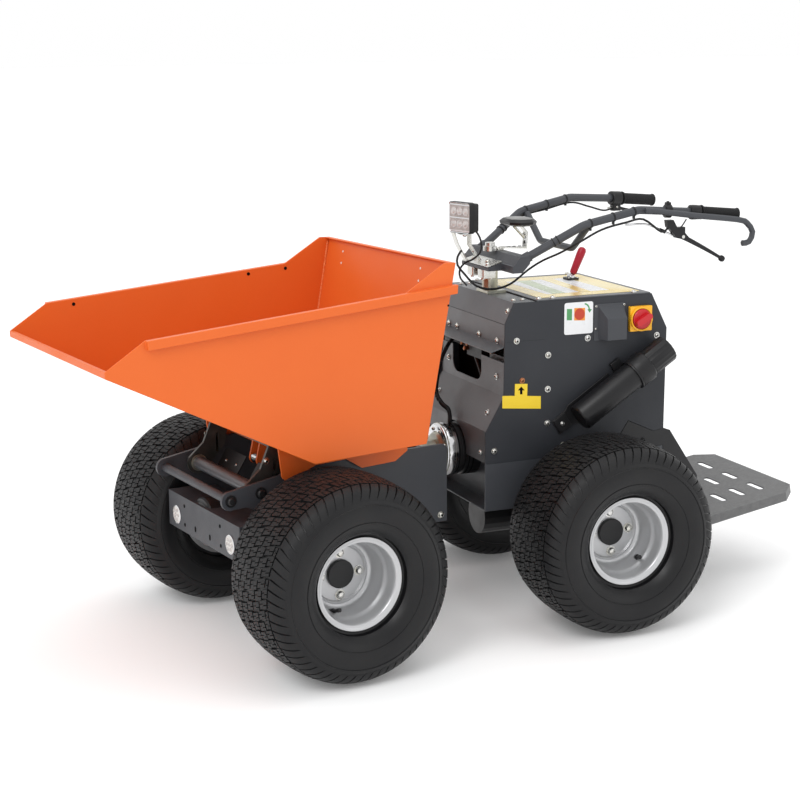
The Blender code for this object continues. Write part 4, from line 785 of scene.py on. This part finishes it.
def document_tube():
    """A black tube with a flanged collar and a fluted cap, on a strap bolted to the panel."""
    start, end = Vector((0.2445, 0.382, 0.529)), Vector((0.2445, 0.641, 0.696))
    way = (end - start).normalized()
    length = (end - start).length
    up = Vector((1, 0, 0)).cross(way)
    radius = 0.0365
    c = length * 0.6
    piece = Piece()
    piece.turned([(0, 0), (0, radius - 0.004), (0.003, radius - 0.001), (0.006, radius), (c, radius)], start,
                 way, BLACK, 56)
    piece.turned([(c, radius), (c, 0.0415), (c + 0.003, 0.042), (c + 0.005, 0.0408), (c + 0.007, 0.0418),
                  (c + 0.03, 0.0426), (c + 0.046, 0.042), (c + 0.049, 0.0395), (c + 0.05, 0.034)], start, way,
                 BLACK, 56)
    points = []
    flutes, ring = 18, 108
    stations = [(c + 0.049, 0.035), (c + 0.054, 0.0362), (length - 0.006, 0.0362), (length - 0.001, 0.0345),
                (length, 0.031)]
    turn = towards(start, way)
    for along, size in stations:
        for i in range(ring):
            angle = 2 * pi * i / ring
            rib = 0.0009 if i % (ring // flutes) < 2 else 0.0
            points.append(turn @ Vector((along, (size + rib) * sin(angle), (size + rib) * cos(angle))))
    rows = len(stations) - 1
    piece.add(points, band(ring, rows) + [[rows * ring + i for i in range(ring)]], BLACK)
    done = piece.done("document_tube_body", "rear_frame", REAR, slot="black")
    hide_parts("document_tube")

    piece = Piece()
    low = start - way * 0.056

    def flat(a, b):
        spot = low + way * a + up * b
        return spot.y, spot.z

    strap = [flat(a, b) for a, b in ((0, -0.022), (0.045, -0.022), (0.058, -0.03), (0.2, -0.03), (0.2, 0.03),
                                     (0.058, 0.03), (0.045, 0.022), (0, 0.022))]
    piece.prism(strap, "X", SKIN, SKIN + 0.0045, BLACK_PAINT)
    tab = [flat(a, b) for a, b in ((0.003, -0.02), (0.04, -0.02), (0.04, 0.02), (0.003, 0.02))]
    piece.prism(tab, "X", SKIN + 0.0045, SKIN + 0.0075, BLACK_PAINT)
    bolt = low + way * 0.02
    piece.bolt((SKIN + 0.0075, bolt.y, bolt.z), (1, 0, 0), 0.0044)
    saddle = [flat(a, b) for a, b in ((0.215, 0.02), (0.245, 0.02), (0.245, 0.048), (0.215, 0.048))]
    piece.prism(saddle, "X", SKIN, SKIN + 0.012, BLACK_PAINT)
    piece.done("document_tube_strap", "rear_frame", REAR, bevel=0.0008)


def cavity():
    """What shows through the front covers' opening: a near-black wall as painted shade, a valve block, pipes
    and cables.
    """
    piece = Piece()
    # A near-black sheet at the back stands in for the shade inside the cavity.
    piece.box((-0.185, 0.19), (0.236, 0.24), (0.56, 0.74), DARK_AND_PAINTED_SHADE)
    piece.box((-0.06, 0.03), (0.202, 0.23), (0.66, 0.7), BLACK_PAINT)
    for x, z in ((-0.078, 0.688), (-0.06, 0.676), (-0.044, 0.69), (0.104, 0.694)):
        piece.turned([(0, 0.0), (0, 0.0065), (0.012, 0.0065), (0.014, 0.003), (0.014, 0)], (x, 0.205, z),
                     (0, -1, 0.1), COPPER, 6, smooth=False)
    piece.tube(smooth_route([(0.06, 0.215, 0.61), (0.04, 0.208, 0.655), (-0.01, 0.212, 0.69),
                             (-0.08, 0.218, 0.7)], 0.012), 0.0045, BROWN, 10)
    piece.tube(smooth_route([(0.02, 0.214, 0.6), (-0.01, 0.21, 0.65), (-0.06, 0.206, 0.7),
                             (-0.12, 0.205, 0.708)], 0.012), 0.006, BLACK, 10)
    for z in (0.69, 0.704):
        piece.tube(smooth_route([(-0.06, 0.22, z - 0.01), (-0.12, 0.2, z), (-0.175, 0.196, z - 0.004),
                                 (-0.188, 0.214, z - 0.012)], 0.01), 0.0085, BLACK, 14)
    piece.prism([(0.205, 0.658), (0.211, 0.658), (0.211, 0.688), (0.205, 0.688)], "X", 0.075, 0.185,
                ANTHRACITE_LIT)
    piece.done("cavity_fittings", "rear_frame", REAR)


def conduit():
    """The ribbed hose in front of the lower cover, over its CAD hose."""
    route = smooth_route([(-0.112, 0.188, 0.698), (-0.116, 0.172, 0.68), (-0.11, 0.15, 0.645),
                          (-0.1, 0.133, 0.598), (-0.084, 0.122, 0.556), (-0.046, 0.121, 0.534),
                          (-0.01, 0.1225, 0.526), (0.0, 0.1235, 0.51), (0.0, 0.1235, 0.491)], 0.0016)
    piece = Piece()
    piece.tube(route, lambda t: 0.0064 if int(t * (len(route) - 1)) % 2 else 0.005, BLACK, 14)
    done = piece.done("ribbed_hose", "rear_frame", REAR, slot="rubber")
    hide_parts("hydraulic_hose")


def lever_and_seams():
    """The parking lever's red sleeve on its plate, the joints between panels and the rear cover's vents in
    painted shade.
    """
    piece = Piece()
    foot = Vector((-0.088, 0.53, 0.8388))
    lean = Vector((0, 0.034, 0.076)).normalized()
    piece.prism(rounded((-0.105, 0.512), (-0.071, 0.548), 0.006), "Z", foot.z, foot.z + 0.006, BLACK_PAINT)
    for y in (0.517, 0.543):
        for x in (-0.1, -0.076):
            piece.bolt((x, y, foot.z + 0.006), (0, 0, 1), 0.003, washer=False)
    piece.turned([(0.0, 0.0125), (0.006, 0.012), (0.01, 0.007), (0.014, 0.0055), (0.02, 0.0055)],
                 foot + Vector((0, 0, 0.005)), lean, CHROME, 20)
    piece.turned([(0.014, 0.0), (0.014, 0.0088), (0.018, 0.0098), (0.07, 0.0118), (0.082, 0.0115),
                  (0.088, 0.009), (0.0905, 0.005), (0.0915, 0.0)], foot + Vector((0, 0, 0.004)), lean,
                 LEVER_RED, 28)
    done = piece.done("parking_lever_sleeve", "rear_frame", REAR, slot="red")
    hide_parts("parking_lever")

    piece = Piece()
    for side in (-1, 1):
        x = side * (SKIN - 0.0001)
        piece.prism([(0.19, 0.735), (0.3, 0.735), (0.3, 0.7347), (0.19, 0.7347)], "X",
                    *sorted((x, x + side * 0.0001)), DARK_AND_PAINTED_SHADE)
    piece.box((-0.19, 0.19), (0.1894, 0.1899), (0.779, 0.7797), DARK_AND_PAINTED_SHADE)
    piece.box((-0.185, 0.185), (0.655, 0.6608), (0.335, 0.3356), DARK_AND_PAINTED_SHADE)
    # The vents are near-black slots on the cover face: painted shade in the openings.
    for k in range(7):
        z = 0.56 + k * 0.016
        piece.prism(rounded((-0.06, z), (0.06, z + 0.006), 0.0028), "Y", 0.6604, 0.661, DARK_AND_PAINTED_SHADE)
    piece.done("panel_seams", "rear_frame", REAR)


def pivot_details():
    """Bright rings on the bearing stack, rings of painted shade in its grooves, and the bolts round its
    flange.
    """
    piece = Piece()
    # The chrome ring is a real bright ring; the near-black ones are painted shade in the grooves between the
    # discs.
    for y, width, radius, material in ((0.1128, 0.006, 0.0704, CHROME), (0.1205, 0.003, 0.0702, DARK_AND_PAINTED_SHADE),
                                       (0.14, 0.004, 0.0665, DARK_AND_PAINTED_SHADE), (0.148, 0.003, 0.0723, DARK_AND_PAINTED_SHADE),
                                       (0.16, 0.003, 0.0723, DARK_AND_PAINTED_SHADE)):
        piece.turned([(0, radius - 0.003), (0, radius), (width, radius), (width, radius - 0.003)],
                     (0, y, SWING_Z), (0, 1, 0), material, 64)
    piece.done("bearing_rings", "rear_frame", REAR)
    piece = Piece()
    piece.turned([(0, 0.05), (0, 0.064), (0.003, 0.07), (0.01, 0.0722), (0.0262, 0.0722), (0.0265, 0.06)],
                 (0, 0.085, SWING_Z), (0, 1, 0), CHROME, 64)
    piece.turned([(0, 0.0), (0, 0.044), (0.008, 0.05), (0.008, 0.0)], (0, 0.077, SWING_Z), (0, 1, 0),
                 YELLOW_ZINC, 48)
    for k in range(8):
        angle = 2 * pi * (k + 0.5) / 8
        piece.bolt((0.057 * cos(angle), 0.085, SWING_Z + 0.057 * sin(angle)), (0, -1, 0), 0.005, washer=False)
    piece.done("knuckle_flange", "knuckle", REAR)


STEP_REAR = 1.081
STEP_TOP = 0.265
STEP_TILT = radians(9.5)


def step_details():
    """Bands darker than the platform round its slots, and the bolts of its side plates."""
    hinge = Matrix.Translation((0, STEP_REAR, STEP_TOP))
    tilt = hinge @ Matrix.Rotation(STEP_TILT, 4, "X") @ hinge.inverted()
    piece = Piece()
    for row in range(4):
        y = 1.006 - row * 0.061
        for number in range(3):
            cx = -0.128 + number * 0.1285
            ring = rounded((cx - 0.0395, y - 0.0105), (cx + 0.0395, y + 0.0105), 0.0104)
            hole = rounded((cx - 0.0375, y - 0.0085), (cx + 0.0375, y + 0.0085), 0.0084)
            points = [(a, b, STEP_TOP + 0.0001) for a,
                      b in ring] + [(a, b, STEP_TOP + 0.0003) for a, b in hole]
            piece.add([tilt @ Vector(p) for p in points], band(len(ring)), ANTHRACITE_LIT)
    for side in (-1, 1):
        for y in (0.7, 0.76):
            spot = tilt @ Vector((side * 0.17, y, STEP_TOP))
            piece.bolt(spot, tilt.to_3x3() @ Vector((0, 0, 1)), 0.0062)
        for y, z in ((0.6, 0.44), (0.64, 0.4), (0.69, 0.3)):
            piece.bolt((side * 0.2002, y, z), (side, 0, 0), 0.0058, BLACK_PAINT)
    piece.done("step_fixings", "rear_frame", REAR)


# ---------------------------------------------------------------- handlebar

TUBE_LOW = Vector((0.1345, 0.2905, 0.9445))
TUBE_BEND = Vector((0.184, 0.42, 1.0227))
TUBE_HIGH = Vector((0.189, 0.577, 1.0545))
GRIP_START = Vector((0.208, 0.752, 1.043))
GRIP_END = Vector((0.217, 0.86, 1.033))


def flip(point):
    """The same place on the handlebar's other side."""
    return Vector((-point[0], point[1], point[2]))


def grips():
    """Ribbed rubber grips with a collar and an end cap."""
    for name, keep in (("left", Vector), ("right", flip)):
        start, end = keep(GRIP_START), keep(GRIP_END)
        length = (end - start).length
        profile = [(0, 0.0113), (0, 0.0188), (0.0015, 0.0194), (0.0035, 0.019), (0.0042, 0.0152)]
        for k in range(30):
            a = 0.006 + k * 0.0033
            profile += [(a, 0.0148), (a + 0.0006, 0.0156), (a + 0.0021, 0.0156), (a + 0.0027, 0.0148)]
        profile += [(length - 0.003, 0.0158), (length - 0.0025, 0.0174), (length - 0.0005, 0.0172),
                    (length, 0.015), (length, 0.0)]
        piece = Piece()
        piece.turned(profile, start, end - start, GRIP, 40)
        done = piece.done(f"ribbed_grip_{name}", "handlebar", REAR, slot="rubber")
        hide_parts(f"grip_{name}")


def clamp(piece, high, start, share, length, outer):
    """A black clamp round the straight of a tube, and the place and direction it starts with."""
    way = (start - high).normalized()
    first = high + (start - high) * share
    profile = [(0, 0.0112), (0, outer - 0.0015), (0.0015, outer), (length - 0.0015, outer),
               (length, outer - 0.0015), (length, 0.0112)]
    piece.turned(profile, first, way, BLACK, 32)
    return first, way


def controls():
    """The brake lever and the switch cluster on the left tube, and the throttle on the right one."""
    piece = Piece()
    spot, way = clamp(piece, TUBE_HIGH, GRIP_START, 0.42, 0.017, 0.0178)
    piece.box((0.1925, 0.2035), (spot.y + 0.002, spot.y + 0.015), (spot.z + 0.012, spot.z + 0.0225), BLACK)
    piece.bolt((0.198, spot.y + 0.0085, spot.z + 0.0225), (0, 0, 1), 0.0042, BLACK_PAINT, washer=False)
    body = [(0.652, 1.026), (0.672, 1.026), (0.684, 1.006), (0.708, 1.006), (0.7085, 0.99), (0.722, 0.976),
            (0.716, 0.972), (0.7, 0.974), (0.682, 0.978), (0.668, 0.996), (0.655, 1.008)]
    piece.prism(body, "X", 0.1925, 0.2075, BLACK)
    route = smooth_route([(0.2, 0.694, 0.984), (0.2, 0.715, 0.9745), (0.2, 0.75, 0.957), (0.2, 0.79, 0.936),
                          (0.2, 0.824, 0.917)], 0.008)
    piece.tube(route, lambda t: 0.0072 - 0.003 * t, BLACK, 14)
    piece.turned([(-0.004, 0.0), (-0.004, 0.004), (0.0, 0.0078), (0.006, 0.0088), (0.011, 0.007),
                  (0.0135, 0.0)], (0.2, 0.823, 0.9175), Vector((0, 0.86, -0.5)), BLACK, 20)
    piece.disc((0.192, 0.703, 0.98), (1, 0, 0), 0.0045, 0.016, ZINC, 14)
    done = piece.done("brake_lever_assembly", "handlebar", REAR, slot="black")
    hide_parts("brake_lever")

    piece = Piece()
    spot, way = clamp(piece, TUBE_HIGH, GRIP_START, 0.82, 0.03, 0.0182)
    piece.turned([(0.006, 0.0183), (0.008, 0.0186), (0.022, 0.0186), (0.024, 0.0183)], spot, way, BLACK, 32)
    piece.box((0.198, 0.212), (spot.y + 0.004, spot.y + 0.026), (spot.z - 0.0205, spot.z - 0.012), BLACK)
    piece.done("switch_cluster", "handlebar", REAR)

    piece = Piece()
    clamp(piece, flip(TUBE_HIGH), flip(GRIP_START), 0.79, 0.032, 0.0196)
    piece.prism(rounded((-0.2175, 0.7205), (-0.1965, 0.7465), 0.004), "Z", 1.009, 1.036, BLACK)
    piece.prism([(0.736, 1.013), (0.745, 1.021), (0.76, 1.0165), (0.79, 1.01), (0.79, 1.004), (0.76, 1.008)],
                "X", -0.212, -0.203, BLACK)
    piece.disc((-0.207, 0.7205, 1.017), (0, -1, 0), 0.0032, 0.012, ZINC, 12)
    piece.bolt((-0.1963, 0.733, 1.02), (1, 0, 0), 0.0034, washer=False)
    done = piece.done("throttle_assembly", "handlebar", REAR, slot="black")
    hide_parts("throttle_housing")


def console():
    """The faceted console pod, its slotted zinc arm and the links below it."""
    piece = Piece()

    def octagon(shrink, z):
        x, y, c = 0.052 - shrink, (0.282 + shrink, 0.362 - shrink), 0.021 - shrink * 0.4
        return [(-x, y[0] + c, z), (-x + c, y[0], z), (x - c, y[0], z), (x, y[0] + c, z), (x, y[1] - c, z),
                (x - c, y[1], z), (-x + c, y[1], z), (-x, y[1] - c, z)]

    rings = [octagon(0.012, 1.0085), octagon(0.001, 1.0135), octagon(0.0, 1.02), octagon(0.008, 1.0275)]
    points = [p for ring in rings for p in ring]
    whole = [list(range(8))]
    piece.add(points, whole + band(8, 3), BLACK, smooth=False)
    piece.add(rings[3], whole, SCREEN, smooth=False)
    piece.prism(rounded((-0.03, 0.298), (0.03, 0.346), 0.003), "Z", 1.0275, 1.0279, SCREEN)
    arm = [(0.258, 0.9445), (0.272, 0.9445), (0.2765, 0.95), (0.344, 0.946), (0.3465, 0.99), (0.33, 1.009),
           (0.326, 1.009), (0.3425, 0.989), (0.3405, 0.95), (0.276, 0.954), (0.258, 0.9485)]
    piece.prism(arm, "X", -0.0115, 0.0115, ZINC)
    # The arm's slots are near-black marks: painted shade in the openings.
    for y in (0.29, 0.306, 0.322):
        piece.prism(rounded((-0.003, y), (0.003, y + 0.01), 0.0029), "Z", 0.9525, 0.9536, DARK_AND_PAINTED_SHADE)
    for z in (0.958, 0.972):
        piece.prism(rounded((-0.003, z), (0.003, z + 0.009), 0.0029), "Y", 0.34, 0.347, DARK_AND_PAINTED_SHADE)
    piece.bolt((0, 0.264, 0.9485), (0, 0, 1), 0.0048)
    piece.bolt((0.012, 0.334, 0.985), (1, 0, 0), 0.0044)
    piece.tube([(0.02, 0.3, 1.008), (0.014, 0.326, 0.984), (0.012, 0.334, 0.976)], 0.0035, ZINC, 10)
    done = piece.done("console_pod", "handlebar", REAR, bevel=0.0007, slot="black")
    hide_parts("console")


def work_light():
    """The square work light: ribbed black body, chrome bezel, two rows of reflectors, zinc strap."""
    turn = Matrix.Translation((0.0, 0.15, 1.036)) @ Matrix.Rotation(radians(18), 4, "Z")
    piece = Piece()
    half = 0.041

    def ring(size, y, r):
        return [(a, y, b) for a, b in rounded((-size, -size), (size, size), r, 4)]

    rings = [ring(half - 0.0015, 0.0, 0.006), ring(half, 0.0018, 0.007), ring(half, 0.0165, 0.007),
             ring(half - 0.002, 0.018, 0.006), ring(half - 0.004, 0.035, 0.005)]
    count = len(rings[0])
    points = [p for r in rings for p in r]
    back = [4 * count + i for i in range(count)]
    piece.add([turn @ Vector(p) for p in points], band(count, 4) + [back], BLACK)
    for k in range(9):
        x = -0.032 + k * 0.008
        fin = [(x, 0.0345), (x + 0.003, 0.0345), (x + 0.003, 0.0362), (x, 0.0362)]
        piece.add([turn @ Vector((a, b, z)) for z in (-0.033, 0.033) for a, b in fin],
                  [[0, 1, 2, 3], [7, 6, 5, 4]] + band(4), BLACK, smooth=False)
    inner = [turn @ Vector(p) for p in ring(half - 0.0035, 0.0018, 0.004)]
    outer = [turn @ Vector(p) for p in rings[0]]
    piece.add(outer + inner, band(count), CHROME)
    piece.add(inner, [list(range(count))], LENS, smooth=False)
    for row in (-1, 1):
        for column in (-1, 0, 1):
            spot = turn @ Vector((column * 0.0225, 0.0016, row * 0.0165))
            piece.turned([(0.0, 0.0108), (0.0012, 0.0102), (0.0006, 0.006), (0.0014, 0.004), (0.0022, 0.0)],
                         spot, turn.to_3x3() @ Vector((0, -1, 0)), LED, 20)
    for z in (-0.034, 0.0, 0.034):
        bar = [(-0.037, z - 0.0012), (0.037, z - 0.0012), (0.037, z + 0.0012), (-0.037, z + 0.0012)]
        piece.add([turn @ Vector((a, 0.0012, b)) for a, b in bar], [[0, 1, 2, 3]], CHROME, smooth=False)
    strap = [(0.198, 0.9119), (0.2065, 0.9142), (0.205, 0.93), (0.1815, 0.964), (0.181, 0.994), (0.15, 0.994),
             (0.15, 0.9915), (0.178, 0.9915), (0.1785, 0.963), (0.201, 0.93)]
    piece.prism(strap, "X", -0.012, 0.012, ZINC)
    piece.bolt((0, 0.166, 0.9915), (0, 0, -1), 0.006)
    piece.bolt((0.0, 0.193, 0.9475), (0, -0.82, -0.57), 0.005)
    done = piece.done("work_light_body", "handlebar", REAR, slot="black")
    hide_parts("work_light")
    piece = Piece()
    piece.tube(smooth_route([(0.004, 0.1835, 1.01), (0.012, 0.197, 0.995), (0.016, 0.206, 0.972),
                             (0.016, 0.204, 0.945), (0.006, 0.188, 0.926), (-0.01, 0.172, 0.915),
                             (-0.016, 0.16, 0.897), (-0.008, 0.158, 0.876), (0.01, 0.168, 0.858)], 0.006),
               0.0026, BLACK, 10)
    piece.done("work_light_cable", "handlebar", REAR)


def bar_details():
    """Bolts on the base plate, cable ties round the tubes and the second cable on the right tube."""
    piece = Piece()
    for x, y, z in ((-0.052, 0.219, 0.9205), (-0.012, 0.213, 0.919), (0.03, 0.219, 0.9205),
                    (0.06, 0.205, 0.917)):
        piece.bolt((x, y, z), (0, -0.25, 1), 0.0062)
    piece.bolt((0.0, 0.267, 0.944), (0, 0, 1), 0.0062)
    plate = [(0.1965, 0.9125), (0.2375, 0.9235), (0.2375, 0.9262), (0.1965, 0.9152)]
    piece.prism(plate, "X", -0.08, 0.078, ZINC)
    piece.turned([(0.0, 0.0), (0.0, 0.018), (0.012, 0.018), (0.012, 0.013), (0.022, 0.013), (0.024, 0.0)],
                 (0, 0.24, 0.945), (0, 0, 1), ZINC, 24)
    strap = [(0.185, 0.925), (0.1965, 0.916), (0.1965, 0.9135), (0.1825, 0.923), (0.16, 0.964), (0.15, 0.994),
             (0.153, 0.994), (0.163, 0.965)]
    piece.prism(strap, "X", -0.052, -0.03, ZINC)
    for x in (-0.032, 0.032):
        piece.prism(rounded((x - 0.018, 0.1965), (x + 0.018, 0.235), 0.004), "Z", 0.879, 0.9015, ZINC)
        for y in (0.204, 0.227):
            piece.disc((x, y, 0.879), (0, 0, -1), 0.005, 0.005, ZINC, 6, smooth=False)
    piece.done("base_plate_fixings", "handlebar", REAR)

    piece = Piece()

    def tie(spot, way, outer):
        profile = [(0, 0.011), (0, outer), (0.0035, outer), (0.0035, 0.011)]
        piece.turned(profile, spot, way, BLACK, 24)

    for keep in (Vector, flip):
        for share in (0.1, 0.52, 0.9):
            spot = keep(TUBE_BEND.lerp(TUBE_HIGH, share))
            tie(spot, (keep(TUBE_HIGH) - keep(TUBE_BEND)).normalized(), 0.0126)
            piece.box((spot.x - 0.003, spot.x + 0.003), (spot.y - 0.001, spot.y + 0.0045),
                      (spot.z - 0.019, spot.z - 0.0115), BLACK)
        start, end = keep(TUBE_LOW), keep(TUBE_BEND)
        for share in (0.42, 0.5):
            tie(start.lerp(end, share), end - start, 0.0128)
    second = smooth_route([(-0.205, 0.72, 1.015), (-0.2, 0.69, 1.012), (-0.194, 0.64, 1.026),
                           (-0.189, 0.58, 1.04), (-0.186, 0.5, 1.025), (-0.182, 0.42, 1.008),
                           (-0.16, 0.35, 0.968), (-0.14, 0.3, 0.937), (-0.11, 0.262, 0.908),
                           (-0.08, 0.235, 0.895), (-0.055, 0.215, 0.885)], 0.01)
    piece.tube(second, 0.0026, BLACK, 10)
    third = smooth_route([(0.2, 0.715, 1.025), (0.203, 0.7, 1.008), (0.204, 0.69, 1.002)], 0.006)
    piece.tube(third, 0.0018, BLACK, 8)
    line = smooth_route([(0.193, 0.69, 0.979), (0.193, 0.65, 0.996), (0.19, 0.6, 1.016),
                         (0.186, 0.54, 1.018)], 0.008)
    piece.tube(line, 0.003, CHROME, 10)
    piece.disc((0.193, 0.655, 0.994), (0, -0.92, 0.39), 0.005, 0.018, BLACK, 12)
    piece.done("bar_cables_and_ties", "handlebar", REAR)


# ---------------------------------------------------------------- studio

FLOOR_SIZE = 60
CAMERA_PLACE = (4.16588, -1.76279, 1.53588)     # in the rear half's coordinates
CAMERA_WAY = (-0.90777, 0.37047, -0.19676)
CAMERA_ROLL = radians(-0.39)


def studio():
    """A white floor and world, a soft sun and three softboxes."""
    floor = bpy.data.objects.new("studio_floor", bpy.data.meshes.new("studio_floor"))
    corners = [(x * FLOOR_SIZE, y * FLOOR_SIZE, 0) for x, y in ((-1, -1), (1, -1), (1, 1), (-1, 1))]
    floor.data.from_pydata(corners, [], [(0, 1, 2, 3)])
    floor.data.materials.append(FLOOR)
    floor.location.z = -0.0005
    bpy.context.scene.collection.objects.link(floor)

    world = bpy.data.worlds.new("studio")
    world.use_nodes = True
    world.node_tree.nodes["Background"].inputs["Color"].default_value = (1.0, 1.0, 1.0, 1)
    world.node_tree.nodes["Background"].inputs["Strength"].default_value = 1.0
    bpy.context.scene.world = world

    def light(name, kind, place, aim, energy, **facts):
        data = bpy.data.lights.new(name, kind)
        data.energy = energy
        for key, value in facts.items():
            setattr(data, key, value)
        lamp = bpy.data.objects.new(name, data)
        lamp.location = place
        lamp.rotation_euler = (Vector(aim) - Vector(place)).to_track_quat("-Z", "Y").to_euler()
        bpy.context.scene.collection.objects.link(lamp)

    light("key", "SUN", (2.6, -3.2, 4.6), (0, 0, 0.4), 0.85, angle=radians(24))
    light("left_softbox", "AREA", (3.2, -3.6, 2.6), (0, -0.2, 0.5), 16, shape="RECTANGLE", size=2.2,
          size_y=1.6)
    light("top_softbox", "AREA", (0.4, 0.4, 4.0), (0, 0, 0.5), 22, shape="RECTANGLE", size=3.0, size_y=3.0)
    light("right_softbox", "AREA", (3.4, 2.8, 2.2), (0, 0.4, 0.5), 8, shape="RECTANGLE", size=1.6, size_y=2.0)


def camera():
    """The camera fitted to the photograph."""
    data = bpy.data.cameras.new("camera")
    data.sensor_width = 36
    data.lens = 79.065
    data.shift_x = 0.0191
    data.shift_y = -0.0304
    data.clip_end = 200
    shot = bpy.data.objects.new("camera", data)
    forward = Vector(CAMERA_WAY).normalized()
    right = forward.cross(Vector((0, 0, 1))).normalized()
    up = right.cross(forward)
    side = right * cos(CAMERA_ROLL) + up * sin(CAMERA_ROLL)
    rise = side.cross(forward)
    place = REAR @ Vector(CAMERA_PLACE)
    turn = Matrix((side, rise, -forward)).transposed().to_4x4()
    shot.matrix_world = Matrix.Translation(place) @ turn
    bpy.context.scene.collection.objects.link(shot)
    bpy.context.scene.camera = shot


def main():
    bpy.context.scene.view_settings.view_transform = "Standard"
    for build in (camera, studio, dress_nodes, wheels, front_details, front_hoses, skip_details, body_bolts,
                  stickers, socket_and_switch, document_tube, cavity, conduit, lever_and_seams, pivot_details,
                  step_details, grips, controls, console, work_light, bar_details):
        build()


main()
